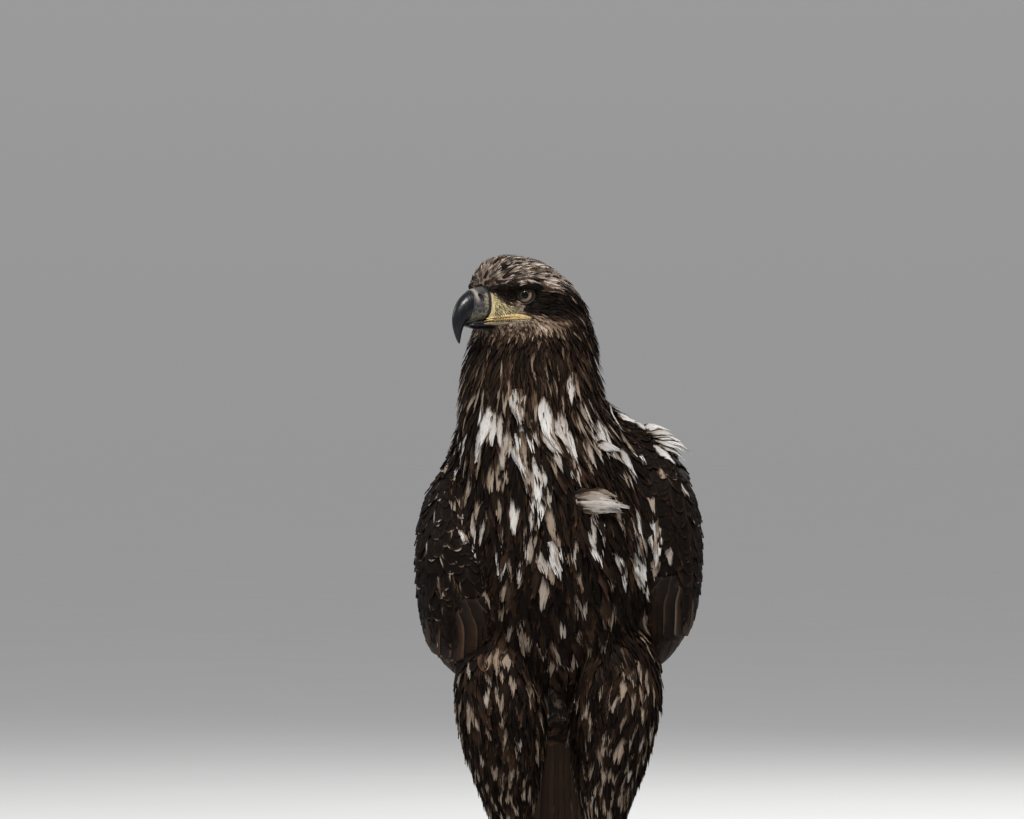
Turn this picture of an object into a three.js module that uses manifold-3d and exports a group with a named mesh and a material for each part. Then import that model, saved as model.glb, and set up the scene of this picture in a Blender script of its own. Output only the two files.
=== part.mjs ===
// A young bald eagle in its second year, standing still and alert, with its wings folded
// and its head turned to its right. Millimetres, +Z up. The bird faces -Y, its left side
// is +X, and the origin lies under the middle of its outline, on the floor.
//
// The flesh is modelled whole, as one loft down the spine with the head joined on, and is
// parted with thin cuts into head, neck and trunk. Wings and tail are curved blocks whose
// surfaces step from feather to feather. Every outline is out to the tips of the feathers.
import * as THREE from "three";
import { mergeVertices } from "three/addons/utils/BufferGeometryUtils.js";
import Module from "manifold-3d";

const wasm = await Module();
wasm.setup();

// ---- driving dimensions -------------------------------------------------------------

const GAP = 0.3; // between pieces that meet
const HEAD_AT = { x: -51, y: -68, z: 633 }; // midway between the eyes
const HEAD_TURN = 50; // degrees, to the bird's right
const EYE = { forward: 1, out: 27, radius: 9.5 };
const STANCE = 47; // from the middle to each leg
const LEG_BACK = 14; // where the leg meets the floor, measured back from the frame
const TROUSER_END = 88; // height of the lowest leg feathers
const FOOT_TURN = 9; // degrees, toes out
const TAIL = { length: 312, root: { y: 118, z: 243 }, drop: 41, feathers: 12, from: 28 };
const CUTS = { head: 590, neck: 508 }; // heights of the cuts across the neck

// Stations down the spine: middle, lean of the section, half width, and the depth from
// the middle to the front and to the back.
const SPINE = [
  { at: 0, x: -30, y: -50, z: 646, lean: 0, half: 30, front: 28, back: 32 }, // in the skull
  { at: 0.6, x: -26, y: -48, z: 621, lean: 0, half: 49, front: 43, back: 51 }, // nape
  { at: 1.2, x: -25, y: -46, z: 597, lean: 0, half: 63, front: 58, back: 63 }, // throat
  { at: 2, x: -27.5, y: -43, z: 561, lean: 4, half: 69.5, front: 69, back: 68 }, // neck
  { at: 3, x: -24, y: -37, z: 516, lean: 11, half: 77, front: 82, back: 80 }, // neck base
  { at: 4, x: -10, y: -23, z: 468, lean: 23, half: 92, front: 102, back: 89 }, // shoulders
  { at: 5, x: -3, y: -4, z: 416, lean: 31, half: 101, front: 116, back: 89 }, // breast
  { at: 6, x: 0, y: 24, z: 360, lean: 37, half: 103, front: 117, back: 84 }, // middle
  { at: 7, x: 0, y: 58, z: 308, lean: 43, half: 97, front: 102, back: 72 }, // belly
  { at: 8, x: 0, y: 94, z: 268, lean: 47, half: 76, front: 72, back: 52 }, // rump
  { at: 9, x: 0, y: 130, z: 235, lean: 49, half: 50, front: 38, back: 30 }, // tail root
  { at: 10, x: 0, y: 168, z: 202, lean: 49, half: 42, front: 14, back: 11 }, // tail coverts
  { at: 11, x: 0, y: 212, z: 163, lean: 49, half: 44, front: 8, back: 8 }, // over the tail
  { at: 12, x: 0, y: 260, z: 121, lean: 49, half: 44, front: 7, back: 7 },
  { at: 13, x: 0, y: 309, z: 78, lean: 49, half: 42, front: 6, back: 6 }, // wing tips
];
const TRUNK_END = 10;

// Stations along the folded wing, by the same places down the spine: how thick each one
// is, and the angles round the body of its lower edge, at the breast, and its upper, on
// the back. The right shoulder is lower, and its wing is held further forward.
const WING = [
  { at: 2.9, thickLeft: 3, thickRight: 2, leadLeft: 20, leadRight: 34, trail: 58 },
  { at: 3.3, thickLeft: 16, thickRight: 2, leadLeft: 6, leadRight: 20, trail: 62 },
  { at: 3.7, thickLeft: 31, thickRight: 2, leadLeft: -8, leadRight: 4, trail: 66 },
  { at: 4.2, thickLeft: 39, thickRight: 12, leadLeft: -18, leadRight: -22, trail: 70 },
  { at: 4.6, thickLeft: 41, thickRight: 25, leadLeft: -22, leadRight: -34, trail: 73 },
  { at: 5, thickLeft: 42, thickRight: 36, leadLeft: -25, leadRight: -42, trail: 76 },
  { at: 6, thickLeft: 41, thickRight: 41, leadLeft: -28, leadRight: -49, trail: 82 },
  { at: 7, thickLeft: 37, thickRight: 37, leadLeft: -28, leadRight: -45, trail: 85 },
  { at: 8, thickLeft: 27, thickRight: 27, leadLeft: -22, leadRight: -28, trail: 86 },
  { at: 9, thickLeft: 20, thickRight: 20, leadLeft: -10, leadRight: -10, trail: 85 },
  { at: 10, thickLeft: 15, thickRight: 15, leadLeft: 2, leadRight: 2, trail: 84 },
  { at: 11, thickLeft: 12, thickRight: 12, leadLeft: 8, leadRight: 8, trail: 80 },
  { at: 12, thickLeft: 9, thickRight: 9, leadLeft: 12, leadRight: 12, trail: 72 },
  { at: 13, thickLeft: 6, thickRight: 6, leadLeft: 16, leadRight: 16, trail: 58 },
];

// ---- helpers ------------------------------------------------------------------------

const rad = THREE.MathUtils.degToRad;
const clamp = THREE.MathUtils.clamp;
const lerp = THREE.MathUtils.lerp;

// A smooth function through one value of a list of stations.
function along(stations, value) {
  const slope = (i) => {
    const before = stations[Math.max(i - 1, 0)];
    const after = stations[Math.min(i + 1, stations.length - 1)];
    return (after[value] - before[value]) / (after.at - before.at);
  };
  return (at) => {
    let i = 0;
    while (i < stations.length - 2 && at > stations[i + 1].at) i++;
    const [a, b] = [stations[i], stations[i + 1]];
    const width = b.at - a.at;
    const t = clamp((at - a.at) / width, 0, 1);
    const bend = slope(i) * width * (t ** 3 - 2 * t ** 2 + t) + slope(i + 1) * width * (t ** 3 - t ** 2);
    return a[value] * (2 * t ** 3 - 3 * t ** 2 + 1) + b[value] * (3 * t ** 2 - 2 * t ** 3) + bend;
  };
}

// All the values of a list of stations, as functions of the place along them.
function curves(stations) {
  return Object.fromEntries(Object.keys(stations[0]).map((value) => [value, along(stations, value)]));
}

// Moves every vertex of a geometry to where place() says, and welds it.
function warp(geometry, place) {
  const position = geometry.getAttribute("position");
  const v = new THREE.Vector3();
  for (let i = 0; i < position.count; i++) {
    v.fromBufferAttribute(position, i);
    position.setXYZ(i, ...place(v.x, v.y, v.z).toArray());
  }
  return welded(geometry);
}

// A round body from pole to pole: place(share of the length, angle, how far out) gives its
// surface, and the ends close over a rounded cap.
function pod(around, rings, place, cap = 0.12) {
  const ball = new THREE.SphereGeometry(1, around, rings);
  return warp(ball, (x, y, z) => {
    const share = Math.acos(clamp(y, -1, 1)) / Math.PI;
    const end = Math.min(share, 1 - share) / cap;
    const out = end >= 1 ? 1 : Math.sqrt(1 - (1 - end) ** 2);
    return place(share, Math.atan2(z, x), out);
  });
}

// A curved block: place(across, along, through) for shares from 0 to 1 of each way.
function block(across, lengthwise, place) {
  const box = new THREE.BoxGeometry(1, 1, 1, across, lengthwise, 1);
  return warp(box, (x, y, z) => place(x + 0.5, y + 0.5, z + 0.5));
}

// A geometry as a solid, with its faces turned outwards.
function solid(geometry) {
  const make = (triVerts) => new wasm.Manifold(new wasm.Mesh({
    numProp: 3,
    vertProperties: new Float32Array(geometry.getAttribute("position").array),
    triVerts,
  }));
  const index = new Uint32Array(geometry.index.array);
  const made = make(index);
  if (made.volume() > 0) return made;
  for (let i = 0; i < index.length; i += 3) [index[i + 1], index[i + 2]] = [index[i + 2], index[i + 1]];
  return make(index);
}

function geometryOf(made) {
  const { vertProperties, triVerts } = made.getMesh();
  const geometry = new THREE.BufferGeometry();
  geometry.setAttribute("position", new THREE.BufferAttribute(vertProperties, 3));
  geometry.setIndex(new THREE.BufferAttribute(triVerts, 1));
  geometry.computeVertexNormals();
  return geometry;
}

// A wing moved a little towards the leg beneath it, to cut a gap between the two.
function nudged(made, sign) {
  const shift = new THREE.Matrix4().makeTranslation(-sign * GAP, -GAP, -GAP);
  const geometry = geometryOf(made);
  geometry.deleteAttribute("normal");
  return solid(geometry.applyMatrix4(shift));
}

// A geometry with only its positions, each shared corner kept once.
function welded(geometry) {
  geometry.deleteAttribute("normal");
  geometry.deleteAttribute("uv");
  return mergeVertices(geometry, 1e-3);
}

// All of the space between two heights, to cut with.
const WIDE = 1200;
const slab = (low, high) =>
  solid(welded(new THREE.BoxGeometry(WIDE, WIDE, high - low).translate(0, 0, (low + high) / 2)));

const material = (color, roughness) => new THREE.MeshStandardMaterial({ color, roughness, metalness: 0 });
const FINISH = {
  plumage: material(0x3a2b23, 0.85),
  flight: material(0x241b17, 0.7),
  horn: material(0x23262b, 0.35),
  cere: material(0xb5a456, 0.5),
  iris: material(0x9a8a5a, 0.15),
  foot: material(0xd0a63a, 0.55),
};

const eagle = new THREE.Group();
function add(name, made, finish) {
  const mesh = new THREE.Mesh(geometryOf(made), FINISH[finish]);
  mesh.name = name;
  eagle.add(mesh);
  return mesh;
}

// ---- spine: neck and trunk ----------------------------------------------------------

const spine = curves(SPINE);

// A point on the body's skin of feathers, `out` millimetres proud of it. Angle 0 is the
// bird's left side, 90 degrees its back and -90 degrees its breast.
function onBody(at, angle, out = 0, scale = 1) {
  const depth = Math.sin(angle) > 0 ? spine.back(at) : spine.front(at);
  const side = Math.cos(angle) * (spine.half(at) * scale + out);
  const back = Math.sin(angle) * (depth * scale + out);
  const lean = rad(spine.lean(at));
  return new THREE.Vector3(
    spine.x(at) + side,
    spine.y(at) + back * Math.cos(lean),
    spine.z(at) + back * Math.sin(lean),
  );
}

const bodyCore = (grow) => solid(pod(22, 20, (share, angle, out) =>
  onBody(share * TRUNK_END, angle, grow * out, out), 0.06));

// ---- head ---------------------------------------------------------------------------

// The head's own frame: X forward along the bill, Y to the bird's left, Z up.
const headFrame = new THREE.Matrix4()
  .makeTranslation(HEAD_AT.x, HEAD_AT.y, HEAD_AT.z)
  .multiply(new THREE.Matrix4().makeRotationZ(rad(-90 - HEAD_TURN)));

// Stations from the nape to the root of the bill: top, bottom and half width.
const SKULL = [
  { at: -86, top: -18, bottom: -46, half: 20 },
  { at: -78, top: 0, bottom: -56, half: 36 },
  { at: -64, top: 16, bottom: -60, half: 43 },
  { at: -48, top: 28, bottom: -58, half: 45 },
  { at: -30, top: 36.5, bottom: -53, half: 44 },
  { at: -12, top: 40.5, bottom: -46, half: 41 },
  { at: 4, top: 41, bottom: -41, half: 38 },
  { at: 18, top: 37, bottom: -37, half: 33.5 },
  { at: 28, top: 27, bottom: -33, half: 27 },
  { at: 34, top: 15, bottom: -30, half: 19.5 },
  { at: 38, top: 7, bottom: -28, half: 14 },
];
const skull = curves(SKULL);
const SQUARE = 0.74; // below 1 squares the sections off
const BROW = { forward: 3, up: 10, length: 20, height: 5, out: 1.6 };
const ORBIT = { forward: 8, up: -3, length: 19, height: 9, deep: 8 };

// The brow stands proud over each eye, and the face is hollow round the eye and the lore.
function face(forward, up) {
  const brow = BROW.out * Math.exp(-(((forward - BROW.forward) / BROW.length) ** 2) - ((up - BROW.up) / BROW.height) ** 2);
  const hollow = ORBIT.deep * Math.exp(-(((forward - ORBIT.forward) / ORBIT.length) ** 2) - ((up - ORBIT.up) / ORBIT.height) ** 2);
  return brow - hollow;
}

// Its sections crowd towards the nape and the face, where it rounds off.
function headSurface(share, angle, out) {
  const eased = lerp(share, (1 - Math.cos(Math.PI * share)) / 2, 0.6);
  const at = lerp(SKULL[0].at, SKULL.at(-1).at, eased);
  const middle = (skull.top(at) + skull.bottom(at)) / 2;
  const tall = (skull.top(at) - skull.bottom(at)) / 2;
  const up = middle + Math.sin(angle) * tall * out;
  const flat = Math.sign(Math.cos(angle)) * Math.abs(Math.cos(angle)) ** SQUARE;
  const side = flat * out * (skull.half(at) + Math.abs(flat) * face(at, up));
  return new THREE.Vector3(at, side, up);
}

const inHead = (geometry) => solid(geometry.applyMatrix4(headFrame));
function eyeBall(side, grow = 0) {
  const ball = new THREE.SphereGeometry(EYE.radius + grow, 12, 9).rotateZ(-Math.PI / 2);
  return inHead(welded(ball.translate(EYE.forward, side * EYE.out, 0)));
}

// ---- bill ---------------------------------------------------------------------------

// The ridge of the upper bill and its cutting edge below, seen from the side, and its
// half width, from the root to the tip of the hook.
const UPPER_BILL = [
  { at: 0, ridge: 26, ridgeUp: 10, edge: 22, edgeUp: -24, half: 16 },
  { at: 1, ridge: 38, ridgeUp: 8, edge: 36, edgeUp: -24.5, half: 13.5 },
  { at: 2, ridge: 49, ridgeUp: 5, edge: 45.5, edgeUp: -25, half: 11 },
  { at: 3, ridge: 58.5, ridgeUp: -1, edge: 52, edgeUp: -26.5, half: 9 },
  { at: 4, ridge: 65.5, ridgeUp: -9.5, edge: 56, edgeUp: -29, half: 7.2 },
  { at: 5, ridge: 69.5, ridgeUp: -20, edge: 58.5, edgeUp: -33.5, half: 5.7 },
  { at: 6, ridge: 69.5, ridgeUp: -31, edge: 60, edgeUp: -38.5, half: 4.2 },
  { at: 7, ridge: 66.3, ridgeUp: -41.5, edge: 61, edgeUp: -44.5, half: 2.4 },
  { at: 8, ridge: 62.5, ridgeUp: -48.5, edge: 61.5, edgeUp: -48, half: 0.9 },
];
const LOWER_BILL = [
  { at: 0, ridge: 22, ridgeUp: -24.6, edge: 20, edgeUp: -33, half: 14.5 },
  { at: 1, ridge: 38, ridgeUp: -25.2, edge: 38, edgeUp: -33.5, half: 11.5 },
  { at: 2, ridge: 49, ridgeUp: -26.2, edge: 48, edgeUp: -32.5, half: 8.5 },
  { at: 3, ridge: 54.5, ridgeUp: -28.6, edge: 54, edgeUp: -31, half: 4.5 },
];
const CERE_END = 50; // where the soft cere meets the horn

function billBody(stations, around, rings, grow = 0, cap = 0.04) {
  const bill = curves(stations);
  return inHead(pod(around, rings, (share, angle, out) => {
    const at = share * stations.at(-1).at;
    const ridge = new THREE.Vector3(bill.ridge(at), 0, bill.ridgeUp(at));
    const edge = new THREE.Vector3(bill.edge(at), 0, bill.edgeUp(at));
    const middle = ridge.clone().lerp(edge, 0.5);
    const reach = ridge.sub(middle);
    const long = reach.length();
    const proud = grow * Math.min(1, 4 * out);
    return middle
      .addScaledVector(reach.normalize(), Math.sin(angle) * (long * out + proud))
      .add(new THREE.Vector3(0, Math.cos(angle) * (bill.half(at) * out + proud), 0));
  }, cap));
}

// All of the space between two planes across the bill, to part it with.
const acrossBill = (from, to) =>
  inHead(welded(new THREE.BoxGeometry(to - from, WIDE, WIDE).translate((from + to) / 2, 0, 0)));

const upperBill = billBody(UPPER_BILL, 12, 14);
const upperBillGrown = billBody(UPPER_BILL, 12, 14, GAP);
const lowerBill = billBody(LOWER_BILL, 10, 7, 0, 0.1).subtract(upperBillGrown);
const bothBillsGrown = upperBillGrown.add(billBody(LOWER_BILL, 10, 7, GAP, 0.1));

// ---- flesh: join, cut out the eyes and bill, and part it ------------------------------

const skullBody = inHead(pod(20, 16, headSurface, 0.1));
const flesh = bodyCore(0).add(skullBody)
  .subtract(bothBillsGrown)
  .subtract(eyeBall(1, GAP))
  .subtract(eyeBall(-1, GAP));

const largest = (made) => made.decompose().sort((a, b) => b.volume() - a.volume())[0];
add("head", largest(flesh.intersect(slab(CUTS.head + GAP, WIDE))), "plumage");
add("neck", largest(flesh.intersect(slab(CUTS.neck + GAP, CUTS.head))), "plumage");
add("trunk", largest(flesh.intersect(slab(0, CUTS.neck))), "plumage");

add("cere", largest(upperBill.intersect(acrossBill(0, CERE_END))), "cere");
add("bill_upper", largest(upperBill.intersect(acrossBill(CERE_END + GAP, WIDE))), "horn");
add("bill_lower", largest(lowerBill), "horn");
for (const [side, sign] of [["left", 1], ["right", -1]]) add(`eye_${side}`, eyeBall(sign), "iris");

// ---- wings --------------------------------------------------------------------------

const wing = curves(WING);
const WING_FEATHERS = 6; // in each layer of the wing
const CLEAR = 2.7; // from the body to the wing's inner face
const STEP = 1.6; // from one long feather's surface to the next
const FEATHER_LINES = [0, 0.5, 0.94]; // across each feather, as shares of its width

// A share across a row of feathers, with its lines gathered at the edge of each one.
function featherLine(share, feathers) {
  const line = Math.round(share * feathers * 3);
  const local = FEATHER_LINES[line % 3];
  return { share: (Math.floor(line / 3) + local) / feathers, local, last: line === feathers * 3 };
}

// How far a feather's tip falls short at its edges, from 0 in its middle to 1.
const tipRound = (local) => (2 * local - 1) ** 2;

function wingPoint(sign, at, angle, through, height) {
  const inner = onBody(at, angle, CLEAR);
  const outer = onBody(at, angle, CLEAR + height);
  const p = inner.lerp(outer, through);
  p.x = sign * (p.x - spine.x(at)) + spine.x(at);
  return p;
}

// The swell of the wing from its lower edge, t = 0, to its upper, t = 1.
const swell = (t) => (t < 0.25 ? Math.sqrt(1 - (1 - t / 0.25) ** 2) : lerp(1, 0.3, (t - 0.25) / 0.75));

// A layer of the folded wing between two places along it, which may slant. The layers
// share their lines across, so that they meet face to face.
function wingLayer(sign, from, to, rows, thin, lobe) {
  const lead = sign > 0 ? wing.leadLeft : wing.leadRight;
  const thick = sign > 0 ? wing.thickLeft : wing.thickRight;
  return solid(block(WING_FEATHERS * 3, rows, (u, v, w) => {
    const line = featherLine(u, WING_FEATHERS);
    const t = line.share;
    const end = to(t) - lobe * tipRound(line.last ? 0 : line.local);
    const at = lerp(from(t), end, v);
    const angle = rad(lerp(lead(at), wing.trail(at), t));
    const step = lobe && t > 0 ? STEP * (1 - line.local) * (line.last ? 0 : 1) : 0;
    const height = Math.max(1.2, thick(at) * swell(t) * thin) + step;
    return wingPoint(sign, at, angle, w, height);
  }));
}

const COVERTS_END = (t) => 7.1 - 1.5 * Math.abs(t - 0.35) - 0.9 * t;
const SECONDARIES_END = (t) => 9.1 + 1.1 * t;
const PRIMARIES_END = (t) => 13.2 - 1.2 * (1 - t) ** 2 - 0.5 * t;
const SHOULDER = { left: 2.9, right: 3.3 }; // where each wing starts
const SEAM = 0.012; // in stations, about half a millimetre
const bodyGrown = bodyCore(GAP);
const wingSolids = { left: [], right: [] };
for (const [side, sign] of [["left", 1], ["right", -1]]) {
  const layers = {
    coverts: wingLayer(sign, () => SHOULDER[side], COVERTS_END, 8, 1, 0),
    secondaries: wingLayer(sign, (t) => COVERTS_END(t) + SEAM, SECONDARIES_END, 4, 0.86, 0.16),
    primaries: wingLayer(sign, (t) => SECONDARIES_END(t) + SEAM, PRIMARIES_END, 3, 0.72, 0.2),
  };
  for (const [name, layer] of Object.entries(layers)) {
    wingSolids[side].push(layer);
    add(`wing_${side}_${name}`, layer, name === "coverts" ? "plumage" : "flight");
  }
}

// ---- tail ---------------------------------------------------------------------------

const TAIL_HALF = { root: 34, tip: 62 }; // half its width, where it starts and at its tip
const TAIL_THICK = 3.4;
const tailBlock = solid(block(TAIL.feathers * 3, 3, (u, v, w) => {
  const line = featherLine(u, TAIL.feathers);
  const across = 2 * line.share - 1;
  const reach = TAIL.length - 20 * across ** 2 - 5 * tipRound(line.last ? 0 : line.local);
  const far = lerp(TAIL.from, reach, v);
  const half = lerp(TAIL_HALF.root, TAIL_HALF.tip, (far / TAIL.length) ** 1.2);
  const arch = -9 * across ** 2;
  const step = STEP * (across < 0 ? line.local : 1 - line.local) * (line.last ? 0 : 1);
  const lift = arch + (w ? TAIL_THICK + step : 0);
  const down = rad(TAIL.drop);
  return new THREE.Vector3(
    across * half,
    TAIL.root.y + far * Math.cos(down) + lift * Math.sin(down),
    TAIL.root.z - far * Math.sin(down) + lift * Math.cos(down),
  );
}));
add("tail", largest(tailBlock.subtract(bodyGrown)), "flight");

// ---- legs ---------------------------------------------------------------------------

// Stations down the leg's feathers.
const THIGH = [
  { at: 0, z: 325, x: 52, y: 34, half: 30, deep: 46 },
  { at: 1, z: 272, x: 57, y: 14, half: 46, deep: 70 },
  { at: 2, z: 224, x: 57, y: 2, half: 48, deep: 66 },
  { at: 3, z: 180, x: 54, y: 2, half: 42, deep: 53 },
  { at: 4, z: 140, x: 50, y: 8, half: 32, deep: 38 },
  { at: 5, z: 106, x: 47.5, y: 13, half: 22, deep: 25 },
  { at: 6, z: 80, x: 47, y: 14, half: 15, deep: 17 },
];
const thigh = curves(THIGH);
const thighBody = (sign) => solid(pod(16, 10, (share, angle, out) => {
  const at = share * THIGH.at(-1).at;
  return new THREE.Vector3(
    sign * (thigh.x(at) + Math.cos(angle) * thigh.half(at) * out),
    thigh.y(at) + Math.sin(angle) * thigh.deep(at) * out,
    thigh.z(at),
  );
}, 0.08));

// A tapering limb round a curve of points, with a radius at each end.
function limb(points, thick, thin, around, rings, cap = 0.16) {
  const path = new THREE.CatmullRomCurve3(points);
  const frames = path.computeFrenetFrames(rings, false);
  return solid(pod(around, rings, (share, angle, out) => {
    const i = Math.round(share * rings);
    const radius = lerp(thick, thin, share) * out;
    return path.getPointAt(share)
      .addScaledVector(frames.normals[i], Math.cos(angle) * radius)
      .addScaledVector(frames.binormals[i], Math.sin(angle) * radius);
  }, cap));
}

// Each toe: its direction from straight ahead, towards the bird's middle if negative, its
// length to the root of the claw, its thickness and the length of its claw.
const TOES = [
  { name: "inner", turn: -32, reach: 54, thick: 9.5, claw: 34 },
  { name: "middle", turn: 2, reach: 70, thick: 9, claw: 32 },
  { name: "outer", turn: 42, reach: 58, thick: 8.5, claw: 28 },
  { name: "hind", turn: 176, reach: 40, thick: 10, claw: 38 },
];
const TARSUS = { radius: 10.5, ankle: 16, hidden: 20 };
const PAD = { slimmer: 1, pressed: 1.2 };
const CLAW = { radius: 5.2, tip: 0.7, sunk: 5, lift: 0.4, curl: 0.62 };

// The bare shank runs down among the toes, and is cut off flat under the leg's feathers.
function shankBody(heel) {
  const heights = [TROUSER_END + TARSUS.hidden, TROUSER_END / 2, TARSUS.ankle - 7];
  const path = heights.map((z) => heel.clone().setZ(z));
  return limb(path, TARSUS.radius, TARSUS.radius + 1.5, 10, 5).intersect(slab(0, TROUSER_END - GAP));
}

// A place on a toe's line, `far` from the heel and `up` from the floor.
function toeLine(heel, sign, toe) {
  const turn = rad(toe.turn + FOOT_TURN);
  const ahead = new THREE.Vector3(sign * Math.sin(turn), -Math.cos(turn), 0);
  return (far, up) => heel.clone().addScaledVector(ahead, far).setZ(up);
}

// The toe bends down from the heel, and its pads are pressed flat on the floor.
function toeBody(point, toe) {
  const height = toe.thick - PAD.slimmer - PAD.pressed;
  const path = [
    point(0, TARSUS.ankle - 1),
    point(toe.reach * 0.4, height + 3.5),
    point(toe.reach * 0.75, height),
    point(toe.reach, height),
  ];
  return limb(path, toe.thick + 1, toe.thick - PAD.slimmer, 8, 6);
}

// The claw arches over from the toe's end, and its point comes down by the floor.
function clawBody(point, toe) {
  const height = toe.thick - PAD.slimmer - PAD.pressed;
  const reach = toe.claw * CLAW.curl;
  const path = [
    point(toe.reach - CLAW.sunk, height + 1),
    point(toe.reach + reach * 0.4, height + 4.5),
    point(toe.reach + reach * 0.85, height - 1),
    point(toe.reach + reach, CLAW.lift + CLAW.tip),
  ];
  return limb(path, CLAW.radius, CLAW.tip, 6, 6, 0.1).intersect(slab(CLAW.lift, WIDE));
}

for (const [side, sign] of [["left", 1], ["right", -1]]) {
  let feathered = thighBody(sign).subtract(bodyGrown).intersect(slab(TROUSER_END, WIDE));
  for (const layer of wingSolids[side]) feathered = feathered.subtract(layer).subtract(nudged(layer, sign));
  add(`leg_${side}_feathered`, largest(feathered), "plumage");

  const heel = new THREE.Vector3(sign * STANCE, LEG_BACK, TARSUS.ankle);
  const lines = TOES.map((toe) => toeLine(heel, sign, toe));
  const toes = TOES.map((toe, i) => toeBody(lines[i], toe));
  const foot = toes.reduce((joined, body) => joined.add(body), shankBody(heel)).intersect(slab(0, WIDE));
  add(`foot_${side}`, foot, "foot");
  for (const [i, toe] of TOES.entries()) {
    add(`claw_${side}_${toe.name}`, largest(clawBody(lines[i], toe).subtract(foot)), "horn");
  }
}

// ---- frame --------------------------------------------------------------------------

eagle.updateMatrixWorld(true);
const box = new THREE.Box3().setFromObject(eagle);
eagle.position.set(-(box.min.x + box.max.x) / 2, -(box.min.y + box.max.y) / 2, -box.min.z);

export default eagle;
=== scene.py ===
# %% [markdown]
# # A young bald eagle as a museum shows it
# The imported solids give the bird's true outline, out to the tips of its feathers. This lesson
# dresses them. A skin is shrunk inside the solids, thousands of small feathers are laid over
# it in the directions that they grow in, and the long feathers, bill, eyes and feet are
# modelled one by one. Everything is worked out in the drawing's millimetres, where the
# solids were designed, and moved into the frame's metres at the end.

import math

import bmesh
import bpy
import numpy as np
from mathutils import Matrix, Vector
from mathutils.bvhtree import BVHTree


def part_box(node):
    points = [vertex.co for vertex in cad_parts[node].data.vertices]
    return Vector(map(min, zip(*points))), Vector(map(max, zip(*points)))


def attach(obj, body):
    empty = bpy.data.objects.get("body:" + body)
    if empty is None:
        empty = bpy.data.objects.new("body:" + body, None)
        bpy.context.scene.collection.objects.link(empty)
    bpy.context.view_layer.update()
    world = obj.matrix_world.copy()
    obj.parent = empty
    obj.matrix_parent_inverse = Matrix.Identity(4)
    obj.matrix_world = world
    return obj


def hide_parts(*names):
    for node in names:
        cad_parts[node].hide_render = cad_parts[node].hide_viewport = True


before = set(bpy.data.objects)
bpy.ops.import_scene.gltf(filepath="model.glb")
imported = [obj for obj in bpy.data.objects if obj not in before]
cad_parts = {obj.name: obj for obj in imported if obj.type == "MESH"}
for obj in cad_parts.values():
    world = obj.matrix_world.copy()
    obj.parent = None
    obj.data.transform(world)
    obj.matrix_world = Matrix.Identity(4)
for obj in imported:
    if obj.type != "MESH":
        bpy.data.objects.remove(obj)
bpy.context.view_layer.update()
random = np.random.default_rng(7)

# %% [markdown]
# ## One drawing for every piece
# On the drawing the bird faces -Y, its left side is +X and heights are +Z. The solids were
# centred after they were drawn, so the drawing and the frame differ by one shift. An eye is
# a good landmark for it, because it is small and round: the middle of its box in the frame
# is the middle that the drawing gives it.

# %% The shift from the drawing to the frame
MM = 0.001
LEFT_EYE = np.array([-34.41, -89.33, 633.0])
low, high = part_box("eye_left")
SHIFT = np.array((low + high) / 2) - LEFT_EYE * MM


def to_frame(points):
    return np.asarray(points) * MM + SHIFT


def to_drawing(points):
    return (np.asarray(points) - SHIFT) / MM


print("shift:", SHIFT.round(4))

# %% [markdown]
# ## Smooth curves through a few stations
# A body is drawn as sections at a few stations, and a cubic curve runs smoothly through each
# value. The slope at a station is that from its neighbour before to its neighbour after.


# %% Curves through stations
def through(stations, column):
    """A smooth function through one column of a table whose first column is the place."""
    at = np.array([row[0] for row in stations], float)
    value = np.array([row[column] for row in stations], float)
    before, after = np.r_[0, 0 : len(at) - 1], np.r_[1 : len(at), len(at) - 1]
    slope = (value[after] - value[before]) / (at[after] - at[before])

    def curve(where):
        i = np.searchsorted(at[1:-1], where, side="left")
        width = at[i + 1] - at[i]
        t = np.clip((where - at[i]) / width, 0, 1)
        bend = slope[i] * (t**3 - 2 * t**2 + t) + slope[i + 1] * (t**3 - t**2)
        return value[i] * (2 * t**3 - 3 * t**2 + 1) + value[i + 1] * (3 * t**2 - 2 * t**3) + bend * width

    return curve


def curves(stations, names):
    return {name: through(stations, i + 1) for i, name in enumerate(names.split())}


def lerp(a, b, t):
    return a + (b - a) * t


def step(low, high, value):
    """0 below low, 1 above high, and smooth between."""
    t = np.clip((value - low) / (high - low), 0, 1)
    return t * t * (3 - 2 * t)


def unit(vectors):
    return vectors / np.maximum(np.linalg.norm(vectors, axis=-1, keepdims=True), 1e-9)


# %% [markdown]
# ## The spine, the wings, the legs and the skull
# These are the stations that the solids come from: sections down the spine from nape to
# tail, the folded wings wrapped round the body, and the feathered legs.

# %% Sections down the body
# place, x, y, z, lean of the section in degrees, half width, depth to the front and back
SPINE = [
    (0, -30, -50, 646, 0, 30, 28, 32),
    (0.6, -26, -48, 621, 0, 49, 43, 51),
    (1.2, -25, -46, 597, 0, 63, 58, 63),
    (2, -27.5, -43, 561, 4, 69.5, 69, 68),
    (3, -24, -37, 516, 11, 77, 82, 80),
    (4, -10, -23, 468, 23, 92, 102, 89),
    (5, -3, -4, 416, 31, 101, 116, 89),
    (6, 0, 24, 360, 37, 103, 117, 84),
    (7, 0, 58, 308, 43, 97, 102, 72),
    (8, 0, 94, 268, 47, 76, 72, 52),
    (9, 0, 130, 235, 49, 50, 38, 30),
    (10, 0, 168, 202, 49, 42, 14, 11),
    (11, 0, 212, 163, 49, 44, 8, 8),
    (12, 0, 260, 121, 49, 44, 7, 7),
    (13, 0, 309, 78, 49, 42, 6, 6),
]
spine = curves(SPINE, "x y z lean half front back")


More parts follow.
